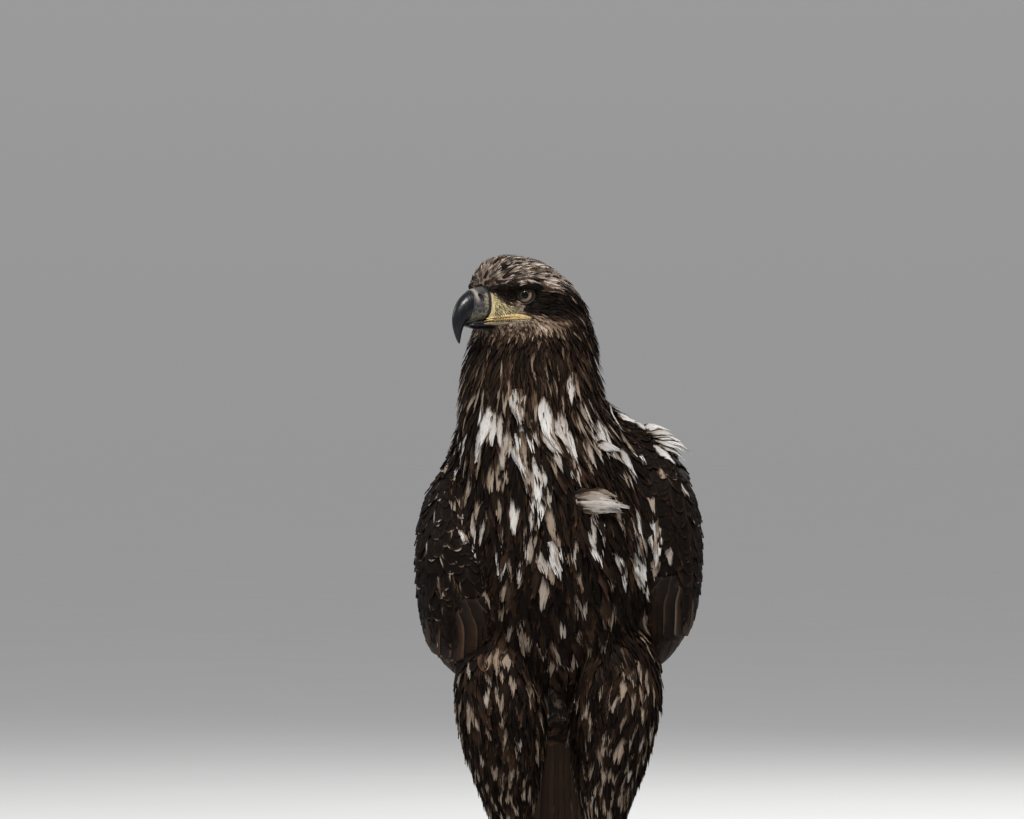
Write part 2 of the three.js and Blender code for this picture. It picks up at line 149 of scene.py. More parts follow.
def on_body(at, angle, out=0.0):
    """A place `out` proud of the body. Angle 0 is the bird's left and 90 degrees its back."""
    depth = np.where(np.sin(angle) > 0, spine["back"](at), spine["front"](at))
    side = np.cos(angle) * (spine["half"](at) + out)
    back = np.sin(angle) * (depth + out)
    lean = np.radians(spine["lean"](at))
    x, y, z = (spine[axis](at) for axis in "xyz")
    return np.stack([x + side, y + back * np.cos(lean), z + back * np.sin(lean)], -1)


SPINE_TRIES = np.linspace(0, 13, 261)


def body_place(points):
    """The place down the spine, angle and height over the body of any points."""
    lean = np.radians(spine["lean"](SPINE_TRIES))
    middle = np.stack([spine[axis](SPINE_TRIES) for axis in "xyz"], -1)
    down = np.stack([0 * lean, np.sin(lean), -np.cos(lean)], -1)
    past = points @ down.T - (middle * down).sum(-1)
    crossed = (past[:, :-1] >= 0) & (past[:, 1:] < 0)
    last = past.shape[1] - 2
    i = np.where(crossed.any(1), last - crossed[:, ::-1].argmax(1), np.where(past[:, 0] < 0, 0, last))
    rows = np.arange(len(points))
    share = past[rows, i] / np.where(past[rows, i] == past[rows, i + 1], 1, past[rows, i] - past[rows, i + 1])
    at = SPINE_TRIES[i] + np.clip(share, 0, 1) * (SPINE_TRIES[1] - SPINE_TRIES[0])
    away = points - np.stack([spine[axis](at) for axis in "xyz"], -1)
    lean = np.radians(spine["lean"](at))
    side, back = away[:, 0], away[:, 1] * np.cos(lean) + away[:, 2] * np.sin(lean)
    depth = np.where(back > 0, spine["back"](at), spine["front"](at))
    angle = np.arctan2(back / depth, side / spine["half"](at))
    out = np.hypot(side, back) - np.hypot(np.cos(angle) * spine["half"](at), np.sin(angle) * depth)
    return at, angle, out


# %% The folded wings
# place, thickness left and right, angle of the lower edge left and right, of the upper edge
WING = [
    (2.9, 3, 2, 20, 34, 58),
    (3.3, 16, 2, 6, 20, 62),
    (3.7, 31, 2, -8, 4, 66),
    (4.2, 39, 12, -18, -22, 70),
    (4.6, 41, 25, -22, -34, 73),
    (5, 42, 36, -25, -42, 76),
    (6, 41, 41, -28, -49, 82),
    (7, 37, 37, -28, -45, 85),
    (8, 27, 27, -22, -28, 86),
    (9, 20, 20, -10, -10, 85),
    (10, 15, 15, 2, 2, 84),
    (11, 12, 12, 8, 8, 80),
    (12, 9, 9, 12, 12, 72),
    (13, 6, 6, 16, 16, 58),
]
wing = curves(WING, "thick_left thick_right lead_left lead_right trail")
WING_CLEAR = 2.7  # from the body to the wing's inner face
SIDES = {"left": 1, "right": -1}


def wing_swell(t):
    near = np.sqrt(np.clip(1 - (1 - t / 0.25) ** 2, 0, 1))
    return np.where(t < 0.25, near, lerp(1, 0.3, (t - 0.25) / 0.75))


def turned(place, at, sign):
    """Mirrors places across the spine where the sign is -1, for the bird's right wing."""
    place[..., 0] = sign * (place[..., 0] - spine["x"](at)) + spine["x"](at)
    return place


def on_wing(side, at, t, thin=1.0, out=0.0):
    """A place on a wing's outer face, t from 0 at its lower edge to 1 on the back."""
    angle = np.radians(lerp(wing[f"lead_{side}"](at), wing["trail"](at), t))
    height = WING_CLEAR + np.maximum(1.2, wing[f"thick_{side}"](at) * wing_swell(t) * thin) + out
    return turned(on_body(at, angle, height), at, SIDES[side])


def coverts_end(t):
    return 7.1 - 1.5 * np.abs(t - 0.35) - 0.9 * t


def secondaries_end(t):
    return 9.1 + 1.1 * t


def primaries_end(t):
    return 13.2 - 1.2 * (1 - t) ** 2 - 0.5 * t


# %% The legs and the skull
# place, z, x, y, half width, half depth
THIGH = [
    (0, 325, 52, 34, 30, 46),
    (1, 272, 57, 14, 46, 70),
    (2, 224, 57, 2, 48, 66),
    (3, 180, 54, 2, 42, 53),
    (4, 140, 50, 8, 32, 38),
    (5, 106, 47.5, 13, 22, 25),
    (6, 80, 47, 14, 15, 17),
]
thigh = curves(THIGH, "z x y half deep")

# The head's own frame has X forward along the bill, Y to the bird's left and Z up.
HEAD_AT = np.array([-51.0, -68.0, 633.0])
HEAD_TURN = math.radians(-90 - 50)
TURN_COS, TURN_SIN = math.cos(HEAD_TURN), math.sin(HEAD_TURN)
HEAD_AXES = np.array([[TURN_COS, TURN_SIN, 0], [-TURN_SIN, TURN_COS, 0], [0, 0, 1]])


def from_head(points):
    return np.asarray(points) @ HEAD_AXES + HEAD_AT


def to_head(points):
    return (np.asarray(points) - HEAD_AT) @ HEAD_AXES.T


print("left eye in the head's frame:", to_head(LEFT_EYE).round(1))

# %% [markdown]
# ## Folds of the face
# A bony ridge overhangs each eye and gives an eagle its stern look. In front of the eye the
# face is hollow, and round it the lids hug the ball. From the bill to below the eye the skin
# is bare and yellow. The coat and the skin are moved by the same formulas, so the feathers
# stand on the ridge as the skin does.

# %% Brow, hollow, socket and bare skin
EYE = {"forward": -0.6, "out": 25.8, "up": 0.4, "radius": 11.0}
GAZE = math.radians(53)  # from straight ahead
IRIS = math.radians(43)  # from the axis to its edge
BROW = [(-34, 3.5), (-26, 5.5), (-16, 7.6), (-4, 8.8), (10, 9.8), (24, 10.0), (34, 8.0)]
BROW_OUT, HOLLOW_IN = 3.2, 1.3
BARE = [(-4, -21), (1, -19), (4, -16.5), (11, -11), (18, -8), (22, -6.6), (27, -4.9)]
BARE += [(29, 0), (30.5, 5.5), (44, 6.5)]


def brow_line(f):
    """The height in the head's frame of the sharp lower edge of the brow."""
    return np.interp(f, *zip(*BROW))


def bare_share(points, margin=0.0, soft=0.9):
    """1 on the bare yellow skin in front of the eye and 0 on feathered skin."""
    f, _, u = to_head(points).T
    below = np.interp(f, *zip(*BARE)) - u + margin
    return step(-0.6, soft, below) * step(-26.5, -25, u + margin) * step(-1, 2, f + margin) * step(44, 42, f)


def face_form(points):
    """Raises the brow and sinks the hollow before the eye."""
    f, l, u = to_head(points).T
    near = step(-38, -22, f) * step(42, 32, f) * step(5, 12, np.abs(l))
    over = u - brow_line(f)
    ridge = near * np.where(over > 0, np.exp(-((over / 8) ** 2)), np.exp(-((over / 2.2) ** 2)))
    hollow = near * np.exp(-(((over + 8) / 5) ** 2)) * step(4, 14, f)
    out = BROW_OUT * ridge - HOLLOW_IN * hollow
    return from_head(np.stack([f, l + np.sign(l) * out, u - 0.9 * ridge], -1))


def eye_axes(sign):
    """Axis, level and upward directions of an eye in the head's frame, and its middle."""
    axis = np.array([math.cos(GAZE), sign * math.sin(GAZE), 0.0])
    up = np.array([0.0, 0.0, 1.0])
    return axis, np.cross(up, axis), up, np.array([EYE["forward"], sign * EYE["out"], EYE["up"]])


def lid_opening(round_, sign):
    """The angle from the eye's axis to the edge of the lids, in each direction round it."""
    high, front = np.sin(round_), -np.cos(round_) * sign
    upper = math.radians(25) * step(0.05, 0.80, high) + math.radians(4) * step(0.3, 1, front) * (high > 0)
    lower = math.radians(4) * step(-0.3, -1, high)
    return math.radians(51) - upper - lower + math.radians(3) * step(-0.4, -1, front)


LID_OUT, EYE_HIDDEN = 1.0, 2.5


def round_eye(points, opened):
    """Lifts what lies round an eye over the ball, and hides what lies in the lids' opening."""
    head = to_head(points)
    for sign in (1, -1):
        axis, level, up, middle = eye_axes(sign)
        away = head - middle
        far = np.linalg.norm(away, axis=1)
        angle = np.arccos(np.clip(away @ axis / np.maximum(far, 1e-6), -1, 1))
        edge = lid_opening(np.arctan2(away @ up, away @ level), sign)
        share = step(math.radians(100), math.radians(78), angle) * (far < 26)
        lifted = lerp(far, np.maximum(far, EYE["radius"] + LID_OUT), share)
        if opened:
            sunk = np.minimum(lifted, EYE["radius"] - EYE_HIDDEN)
            lifted = lerp(sunk, lifted, step(-0.02, 0.10, angle - edge))
        head = middle + away * (lifted / np.maximum(far, 1e-6))[:, None]
    return from_head(head)


# %% [markdown]
# ## Meshes as arrays
# A few helpers carry meshes between Blender and numpy, where moving every vertex by one
# formula is a single line.


# %% Carry meshes to arrays and back
def points_of(mesh):
    """A mesh's points on the drawing."""
    points = np.empty(len(mesh.vertices) * 3)
    mesh.vertices.foreach_get("co", points)
    return to_drawing(points.reshape(-1, 3))


def arrays_of(mesh):
    """A mesh's points on the drawing, and its faces, which all have four corners."""
    corners = np.empty(len(mesh.loops), int)
    mesh.loops.foreach_get("vertex_index", corners)
    return points_of(mesh), corners.reshape(-1, 4)


def mesh_of(name, points, faces):
    """A smooth-shaded mesh from points on the drawing and four-cornered faces."""
    mesh = bpy.data.meshes.new(name)
    mesh.vertices.add(len(points))
    mesh.vertices.foreach_set("co", to_frame(points).ravel())
    mesh.loops.add(faces.size)
    mesh.loops.foreach_set("vertex_index", faces.ravel().astype(np.int32))
    mesh.polygons.add(len(faces))
    mesh.polygons.foreach_set("loop_start", np.arange(0, faces.size, 4, dtype=np.int32))
    mesh.polygons.foreach_set("use_smooth", np.ones(len(faces), bool))
    mesh.update(calc_edges=True)
    return mesh


def piece_of(name, data):
    """A new object in the scene, of a mesh, a lamp or a camera."""
    piece = bpy.data.objects.new(name, data)
    bpy.context.scene.collection.objects.link(piece)
    return piece


def mesh_from(bm, name):
    """A mesh from a bmesh, which is freed."""
    mesh = bpy.data.meshes.new(name)
    bm.to_mesh(mesh)
    bm.free()
    return mesh


def note(mesh, name, kind, values):
    """Keeps a value, or a colour of four, at every point of a mesh."""
    key = "color" if kind == "FLOAT_COLOR" else "value"
    mesh.attributes.new(name, kind, "POINT").data.foreach_set(key, values.ravel())


def normals_of(points, faces):
    across, along = points[faces[:, 2]] - points[faces[:, 0]], points[faces[:, 3]] - points[faces[:, 1]]
    each = np.cross(across, along)
    total = np.stack(
        [np.bincount(faces.ravel(), np.repeat(each[:, axis], 4), len(points)) for axis in range(3)], -1
    )
    return unit(total)


def edges_of(faces):
    pairs = np.concatenate([faces[:, [0, 1]], faces[:, [1, 2]], faces[:, [2, 3]], faces[:, [3, 0]]])
    return np.unique(np.sort(pairs, 1), axis=0)


def spread_out(values, edges, rounds, share=0.5):
    """Evens values out over a mesh, a little towards their neighbours in each round."""
    both = np.concatenate([edges, edges[:, ::-1]])
    count = np.bincount(both[:, 0], minlength=len(values))
    flat = values.reshape(len(values), -1)
    for _ in range(rounds):
        total = np.stack(
            [np.bincount(both[:, 0], column[both[:, 1]], len(flat)) for column in flat.T], -1
        )
        flat = lerp(flat, total / np.maximum(count, 1)[:, None], share)
    return flat.reshape(values.shape)


# %% [markdown]
# ## The coat's outer surface
# The solids are many pieces with thin gaps. To lay feathers, one continuous surface is
# needed. Each solid is copied and grown by a little, a voxel remesh fuses the copies into one
# closed skin, and the same growth is taken off again. Loose bubbles left inside the fused
# gaps are thrown away.

# %% Fuse solids into one surface
GROW = 1.7  # millimetres, over half of the gap between a wing and the body


def fused(nodes, voxel, grow=GROW):
    """One closed surface round several solids, as points on the drawing and faces."""
    joined = bmesh.new()
    for node in nodes:
        copy = bmesh.new()
        copy.from_mesh(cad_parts[node].data)
        bmesh.ops.remove_doubles(copy, verts=copy.verts, dist=1e-6)
        copy.normal_update()
        for v in copy.verts:
            v.co = v.co + v.normal * grow * MM
        scrap = mesh_from(copy, "scrap")
        joined.from_mesh(scrap)
        bpy.data.meshes.remove(scrap)
    mesh = mesh_from(joined, "fused")
    shape = piece_of("fused", mesh)
    remesh = shape.modifiers.new("fuse", "REMESH")
    remesh.mode = "VOXEL"
    remesh.voxel_size = voxel * MM
    made = shape.evaluated_get(bpy.context.evaluated_depsgraph_get()).to_mesh()
    points, faces = arrays_of(made)
    bpy.data.objects.remove(shape)
    bpy.data.meshes.remove(mesh)
    return largest(points, faces)


def largest(points, faces):
    """Only the largest connected part of a surface."""
    edges = edges_of(faces)
    label = np.arange(len(points))
    while True:
        low = np.minimum(label[edges[:, 0]], label[edges[:, 1]])
        lower = label.copy()
        np.minimum.at(lower, edges[:, 0], low)
        np.minimum.at(lower, edges[:, 1], low)
        lower = lower[lower]
        if (lower == label).all():
            break
        label = lower
    main = np.bincount(label).argmax()
    kept = label == main
    number = np.cumsum(kept) - 1
    return points[kept], number[faces[kept[faces].all(1)]]


WINGS = [f"wing_{side}_{layer}" for side in SIDES for layer in ("coverts", "secondaries", "primaries")]
LEGS = ["leg_left_feathered", "leg_right_feathered"]
FLESH = ["head", "neck", "trunk"] + LEGS
COAT_VOXEL = 2.6
coat, coat_faces = fused(FLESH + WINGS + ["tail"], COAT_VOXEL)
coat_edges = edges_of(coat_faces)
coat_normals = spread_out(normals_of(coat, coat_faces), coat_edges, 2)
coat = spread_out(coat, coat_edges, 4) - unit(coat_normals) * GROW
coat = face_form(round_eye(coat, False))
coat_normals = unit(spread_out(normals_of(coat, coat_faces), coat_edges, 3))
print("coat:", len(coat), "points,", len(coat_faces), "faces")

# %% [markdown]
# ## What each place on the coat belongs to
# The nearest solid says whether a place is on the head, the neck, a wing or a leg. From that
# follow the way that its feathers lie, how deep the coat is there, and later the size and
# colour of the feathers. The values are evened out over the surface, so that one tract of
# feathers runs into the next without a seam.


# %% Name the region of every point
def nearest(tree, points):
    """The nearest place on a surface to each point, and the number of its face."""
    places, faces = np.empty((len(points), 3)), np.empty(len(points), int)
    for i, point in enumerate(points.tolist()):
        place, _, face, _ = tree.find_nearest(point)
        places[i], faces[i] = place, face
    return places, faces


REGIONS = FLESH + WINGS + ["tail"]
solid_points, solid_faces, face_region, first = [], [], [], 0
for number, node in enumerate(REGIONS):
    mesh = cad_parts[node].data
    solid_points += to_drawing([v.co for v in mesh.vertices]).tolist()
    solid_faces += [[first + i for i in face.vertices] for face in mesh.polygons]
    face_region += [number] * len(mesh.polygons)
    first += len(mesh.vertices)
solids_tree = BVHTree.FromPolygons(solid_points, solid_faces)
region = np.array(face_region)[nearest(solids_tree, coat)[1]]


def belongs(*nodes, of=region):
    return np.isin(of, [REGIONS.index(node) for node in nodes])


on_head, on_neck, on_trunk = belongs("head"), belongs("neck"), belongs("trunk")
on_legs, on_tail = belongs(*LEGS), belongs("tail")
on_wings = {side: belongs(*[w for w in WINGS if side in w]) for side in SIDES}
print({node: int((region == i).sum()) for i, node in enumerate(REGIONS)})

# %% [markdown]
# ## The lie of the feathers
# Feathers point away from the bill, over the crown and cheeks and down the neck, then down
# and back along the body. On a wing they follow its length, and on a leg they hang down.
# Below the head, each direction is the slope of the region's own drawing, taken by a small
# step along it.

# %% Direction of the lie at every point
A_STEP = 0.05  # stations, to take a slope by
at, angle, body_out = body_place(coat)
lie = on_body(at + A_STEP, angle) - on_body(at - A_STEP, angle)

head_place = to_head(coat)
forward, leftward, upward = head_place.T
back_over = unit(np.stack([-1 + 0 * forward, 0.10 * np.sign(leftward), 0 * forward], -1) @ HEAD_AXES)
hang = np.clip(0.12 + 0.9 * step(0, -46, upward) + 0.95 * step(-20, -80, forward), 0, 1)[:, None]
head_lie = back_over * (1 - hang) + np.array([0, 0, -1.0]) * hang
lie[on_head] = head_lie[on_head]

wing_t, wing_top = np.zeros(len(coat)), np.zeros(len(coat), bool)
for side, sign in SIDES.items():
    here = on_wings[side]
    a, phi, out = at[here], angle[here], body_out[here]
    if sign < 0:
        phi = np.arctan2(np.sin(phi), -np.cos(phi))
    lead, trail = (np.radians(wing[key](a)) for key in (f"lead_{side}", "trail"))
    t = (phi - lead) / (trail - lead)
    wing_t[here] = t
    wing_top[here] = out > 0.55 * wing[f"thick_{side}"](a) * wing_swell(np.clip(t, 0, 1))

    def wing_line(where):
        edge = np.radians(lerp(wing[f"lead_{side}"](where), wing["trail"](where), t))
        return turned(on_body(where, edge, out), where, sign)

    lie[here] = wing_line(a + A_STEP) - wing_line(a - A_STEP)

LEG_TRIES = np.linspace(0, 6, 61)
leg_at = np.interp(-coat[:, 2], -thigh["z"](LEG_TRIES), LEG_TRIES)
leg_lie = np.stack([thigh[axis](leg_at + A_STEP) - thigh[axis](leg_at - A_STEP) for axis in "xyz"], -1)
leg_lie[:, 0] *= np.sign(coat[:, 0])
lie[on_legs] = leg_lie[on_legs]
lie = unit(lie)
across = (lie * coat_normals).sum(1, keepdims=True)
lie = unit(spread_out(unit(lie - across * coat_normals), coat_edges, 14))
SWAY = 0.16  # how far tufts of feathers part to one side
sway = spread_out(random.normal(0, 1, (len(coat), 2)), coat_edges, 24)
sway, puff = (sway / sway.std(0)).T
lie = unit(lie + np.cross(lie, coat_normals) * (SWAY * sway)[:, None])
print("lie of the breast:", lie[on_trunk].mean(0).round(2))

# %% [markdown]
# ## The skin under the coat
# The skin is fused anew from the flesh and the wings, without the primaries, and taken in by
# the depth of the coat: a millimetre on the face, a centimetre on the neck and body. It goes
# in by a few small steps, and where the coat is deep its bumps are evened out between them,
# so that hollows don't fold over.

# %% Depth of the coat
face_share = step(-8, 22, forward) * step(-52, -34, upward)
eye_near = sum(step(26, 14, np.linalg.norm(head_place - eye_axes(sign)[3], axis=1)) for sign in (1, -1))
depth = np.where(on_neck | on_trunk, 9.5, 0.0)
depth[on_head] = lerp(3.6, 9.5, step(-30, -62, upward[on_head]) * step(10, -30, forward[on_head]))
depth[on_legs] = np.interp(coat[on_legs, 2], [88, 120, 200], [3.5, 5.5, 8.0])
for side in SIDES:
    depth[on_wings[side]] = 4.5
depth[on_tail] = 1.5
depth = lerp(spread_out(depth, coat_edges, 25), 1.3, np.clip(face_share + eye_near, 0, 1) * on_head)
print("depth of the coat:", depth.min().round(1), "to", depth.max().round(1), "mm")

# %% Take the skin in by that depth
coat_tree = BVHTree.FromPolygons(coat.tolist(), coat_faces.tolist())
SKIN_VOXEL = 3.1
SKIN_STEPS = 5
skin, skin_faces = fused(FLESH + [w for w in WINGS if "primaries" not in w], SKIN_VOXEL)
skin_edges = edges_of(skin_faces)
skin = spread_out(skin, skin_edges, 3)
_, skin_over = nearest(coat_tree, skin)
skin_depth = depth[coat_faces[skin_over]].mean(1) + GROW
for _ in range(SKIN_STEPS):
    inward = unit(spread_out(normals_of(skin, skin_faces), skin_edges, 4))
    skin = skin - inward * (skin_depth / SKIN_STEPS)[:, None]
    even = step(2.0, 6.0, skin_depth)[:, None]
    skin = lerp(skin, spread_out(skin, skin_edges, 2), even)
print("skin:", len(skin), "points")

# %% [markdown]
# ## One unwrap for skin and feathers
# When the model leaves Blender its colours are baked to pictures, and each feather needs its
# own small place in them. The skin is unwrapped once, and every small feather takes a patch
# about three thousandths across at the place where it grows. Blender's own Smart UV Project
# does the unwrap, because the skin has many folds and no natural seams.

# %% Unwrap the skin
BAKE_MAP = "OFBake"
PATCH = 0.003
skin_piece = piece_of("skin", mesh_of("skin", skin, skin_faces))
skin_piece.data.uv_layers.new(name=BAKE_MAP)
bpy.context.view_layer.objects.active = skin_piece
bpy.ops.object.select_all(action="DESELECT")
skin_piece.select_set(True)
bpy.ops.object.mode_set(mode="EDIT")
bpy.ops.mesh.select_all(action="SELECT")
bpy.ops.uv.smart_project(angle_limit=math.radians(66), island_margin=0.002)
bpy.ops.object.mode_set(mode="OBJECT")
skin_uv = np.empty(len(skin_piece.data.loops) * 2)
skin_piece.data.uv_layers[BAKE_MAP].data.foreach_get("uv", skin_uv)
skin_face_uv = skin_uv.reshape(-1, 4, 2).mean(1)
skin_tree = BVHTree.FromPolygons(skin.tolist(), skin_faces.tolist())
print("unwrap fills", skin_face_uv.min(0).round(3), skin_face_uv.max(0).round(3))

# %% [markdown]
# ## The size of the feathers in each tract
# A bird's feathers change size smoothly from tract to tract: bristles by the bill, small
# pointed ones on the crown, lances on the neck, broad ones on the breast and rounded ones on
# the wings. So size is stated for each region and evened out over the surface. A feather is
# described by the distance to its neighbours, its length and width, how far its tip stands
# up, and how round it is.

# %% Sizes over the surface
SIZES = {  # spacing, length, width, rise of the tip, roundness
    "face": (1.9, 6.5, 2.6, 0.25, 0.0),
    "crown": (5.6, 24, 7.6, 1.1, 0.0),
    "cheek": (3.0, 16, 5.2, 0.6, 0.0),
    "nape": (4.2, 29, 6.5, 2.0, 0.0),
    "throat": (3.6, 25, 5.2, 0.9, 0.0),
    "neck_top": (4.5, 32, 7.2, 1.3, 0.0),
    "neck_base": (6.2, 44, 11.5, 1.7, 0.1),
    "breast": (8.0, 54, 18, 2.0, 0.2),
    "belly": (9.0, 56, 22, 1.9, 0.3),
    "mantle": (10.0, 50, 25, 0.8, 0.8),
    "shoulder": (6.4, 25, 13, 0.9, 0.7),
    "coverts": (10.0, 42, 21, 0.9, 1.0),
    "quills": (13.0, 44, 24, 0.0, 1.0),
    "thigh": (7.6, 42, 15, 1.6, 0.2),
    "trouser": (5.2, 25, 9, 0.9, 0.1),
    "tail": (11.0, 46, 24, 0.0, 1.0),
}
SIZES = {name: np.array(row) for name, row in SIZES.items()}


def blend(first, second, share):
    return lerp(SIZES[first], SIZES[second], np.clip(share, 0, 1)[:, None])


size = np.tile(SIZES["breast"], (len(coat), 1))
height = coat[:, 2]
behind = step(-0.2, 0.5, np.sin(angle))  # 0 on the breast and 1 on the back
front_or_back = lerp(blend("breast", "belly", step(400, 330, height)), SIZES["mantle"], behind[:, None])
size[on_trunk] = front_or_back[on_trunk]
size[on_neck] = blend("neck_base", "neck_top", step(520, 575, height))[on_neck]
top_or_side = blend("cheek", "crown", step(0, 12, upward))
to_face = step(0, 24, forward + 0.35 * np.abs(upward)) * lerp(1, 0.3, step(8, 13, upward))
head_size = lerp(top_or_side, SIZES["face"], to_face[:, None])
head_size = lerp(head_size, SIZES["nape"], step(-30, -62, forward)[:, None])
head_size = lerp(head_size, SIZES["throat"], (step(-34, -52, upward) * step(-62, -30, forward))[:, None])
size[on_head] = head_size[on_head]
for side in SIDES:
    here = on_wings[side]
    grown = step(2.8, 6.4, at)
    size[here] = blend("shoulder", "coverts", grown)[here]
    size[belongs(f"wing_{side}_secondaries", f"wing_{side}_primaries")] = SIZES["quills"]
size[on_legs] = blend("thigh", "trouser", step(210, 100, height))[on_legs]
size[on_tail] = SIZES["tail"]
size = spread_out(size, coat_edges, 10)
print("feather lengths:", size[:, 1].min().round(1), "to", size[:, 1].max().round(1), "mm")

# %% [markdown]
# ## Where the feathers grow
# Feathers keep an even distance from each other without standing in straight lines. Throwing
# darts does that: places are drawn at random over the surface, and each is kept unless an
# earlier one is nearer than the spacing there. A grid of cells makes the test quick.


# %% Throw darts over the coat
def roots_over(points, faces, spacing, thrown=7):
    """Evenly scattered places on a surface, as faces and shares across them."""
    corners = points[faces]
    area = np.linalg.norm(np.cross(corners[:, 2] - corners[:, 0], corners[:, 3] - corners[:, 1]), axis=1) / 2
    need = spacing[faces].mean(1)
    wanted = area / need**2
    total = int(wanted.sum() * thrown)
    picked = random.choice(len(faces), total, p=wanted / wanted.sum())
    u, v = random.random((2, total, 1))
    c = corners[picked]
    places = lerp(lerp(c[:, 0], c[:, 1], u), lerp(c[:, 3], c[:, 2], u), v)
    cell_size = need.max()
    cells, kept = {}, []
    keys = np.floor(places / cell_size).astype(int)
    around = [(i, j, k) for i in (-1, 0, 1) for j in (-1, 0, 1) for k in (-1, 0, 1)]
    for n, (x, y, z), (a, b, c_), gap in zip(
        range(total), places.tolist(), keys.tolist(), need[picked].tolist()
    ):
        limit = gap * gap
        for i, j, k in around:
            for px, py, pz in cells.get((a + i, b + j, c_ + k), ()):
                if (px - x) ** 2 + (py - y) ** 2 + (pz - z) ** 2 < limit:
                    break
            else:
                continue
            break
        else:
            cells.setdefault((a, b, c_), []).append((x, y, z))
            kept.append(n)
    kept = np.array(kept)
    return places[kept], picked[kept]


# The outer faces of the quills and the tail are laid feather by feather, so no small feathers
# grow there, nor on the eyes, on the bare skin and round the bill.
on_quills = belongs(*[w for w in WINGS if "coverts" not in w])
bare = (on_tail & (coat[:, 1] > 150)) | belongs(*[w for w in WINGS if "primaries" in w])
bare |= on_quills & wing_top & (wing_t > 0.06)
for sign in (1, -1):
    axis, _, _, middle = eye_axes(sign)
    far = np.linalg.norm(head_place - middle, axis=1)
    bare |= (far < 16) & ((head_place - middle) @ axis > 0.42 * far)
face_sides = on_head & (np.abs(leftward) > 6)
bare |= face_sides & (bare_share(coat, 0.8) > 0.5)
bare |= face_sides & (forward > 32) & (upward < 6)
bare |= face_sides & (forward > 21) & (upward < -23) & (upward > -30)
open_faces = bare[coat_faces].sum(1) < 3
small = size[:, 0] < 6.0
root_sets = []
for part in (small, ~small):
    chosen = open_faces & (part[coat_faces[:, 0]])
    root_sets.append(roots_over(coat, coat_faces[chosen], size[:, 0] * 0.86))
    root_sets[-1] = (root_sets[-1][0], np.flatnonzero(chosen)[root_sets[-1][1]])
lores = face_sides & (bare_share(coat, -0.5) > 0.5) & (forward < 33)
lore_faces = np.flatnonzero(lores[coat_faces].sum(1) > 3)
places, faces = roots_over(coat, coat_faces[lore_faces], np.full(len(coat), 1.5))
root_sets.append((places, lore_faces[faces]))  # a few fine bristles on the bare skin
hairs = len(places)
roots = np.concatenate([places for places, _ in root_sets])
root_faces = np.concatenate([faces for _, faces in root_sets])
print("feathers:", len(roots))

# %% The bold feathers, one by one
# across and height of the tip, length, width, how white, lean to the bird's left, rise
BOLD = [
    (-41, 506, 40, 16, 0.9, 0.05, 1.8),
    (-12, 488, 52, 14, 0.9, 0.0, 1.6),
    (-26, 484, 30, 10, 0.5, 0.0, 1.2),
    (17, 526, 36, 14, 0.7, 0.1, 1.6),
    (24, 504, 30, 10, 0.5, 0.1, 1.2),
    (-76, 486, 44, 20, 1.0, -0.25, 2.4),
    (-84, 468, 36, 13, 0.7, -0.3, 1.6),
    (-63, 484, 40, 10, 0.6, -0.1, 1.4),
    (-58, 462, 44, 13, 0.65, -0.1, 1.6),
    (-62, 440, 40, 12, 0.6, -0.1, 1.4),
    (-38, 455, 48, 20, 1.0, 0.15, 2.6),
    (-48, 474, 36, 12, 0.6, 0.1, 1.6),
    (-20, 430, 44, 24, 1.0, 0.15, 3.0),
    (-14, 405, 36, 15, 0.9, 0.3, 2.0),
    (-7, 474, 48, 15, 0.95, 0.2, 1.8),
    (-8, 456, 34, 11, 0.6, 0.1, 1.4),
    (6, 484, 38, 14, 0.8, 0.3, 1.6),
    (19, 467, 44, 13, 0.8, 0.5, 2.0),
    (31, 462, 34, 11, 0.5, 0.1, 1.4),
    (30, 488, 34, 11, 0.5, 0.2, 1.4),
    (43, 470, 46, 18, 1.0, 0.1, 2.6),
    (96, 370, 52, 19, 0.9, 0.05, 2.6),
    (82, 392, 34, 15, 0.95, 0.15, 2.0),
    (68, 366, 46, 13, 0.7, -0.35, 1.8),
    (56, 398, 36, 10, 0.5, 0.1, 1.4),
    (-4, 352, 42, 23, 1.0, 0.2, 2.4),
    (-27, 368, 44, 14, 0.6, 0.0, 1.6),
    (-57, 350, 40, 16, 0.8, 0.0, 1.8),
    (-34, 346, 30, 12, 0.7, 0.1, 1.4),
    (76, 340, 44, 22, 1.0, -0.1, 2.4),
    (98, 348, 34, 12, 0.6, 0.0, 1.6),
    (69, 444, 34, 9, 0.8, 0.15, 1.4),
    (-108, 452, 28, 11, 0.95, -0.5, 1.6),
    (-108, 418, 26, 7, 0.6, -0.2, 1.0),
    (-101, 388, 34, 10, 0.8, -0.2, 1.2),
    (-76, 386, 34, 9, 0.6, 0.0, 1.2),
    (111, 364, 26, 11, 0.7, 0.1, 1.2),
    (125, 430, 24, 8, 0.8, 0.1, 1.0),
]
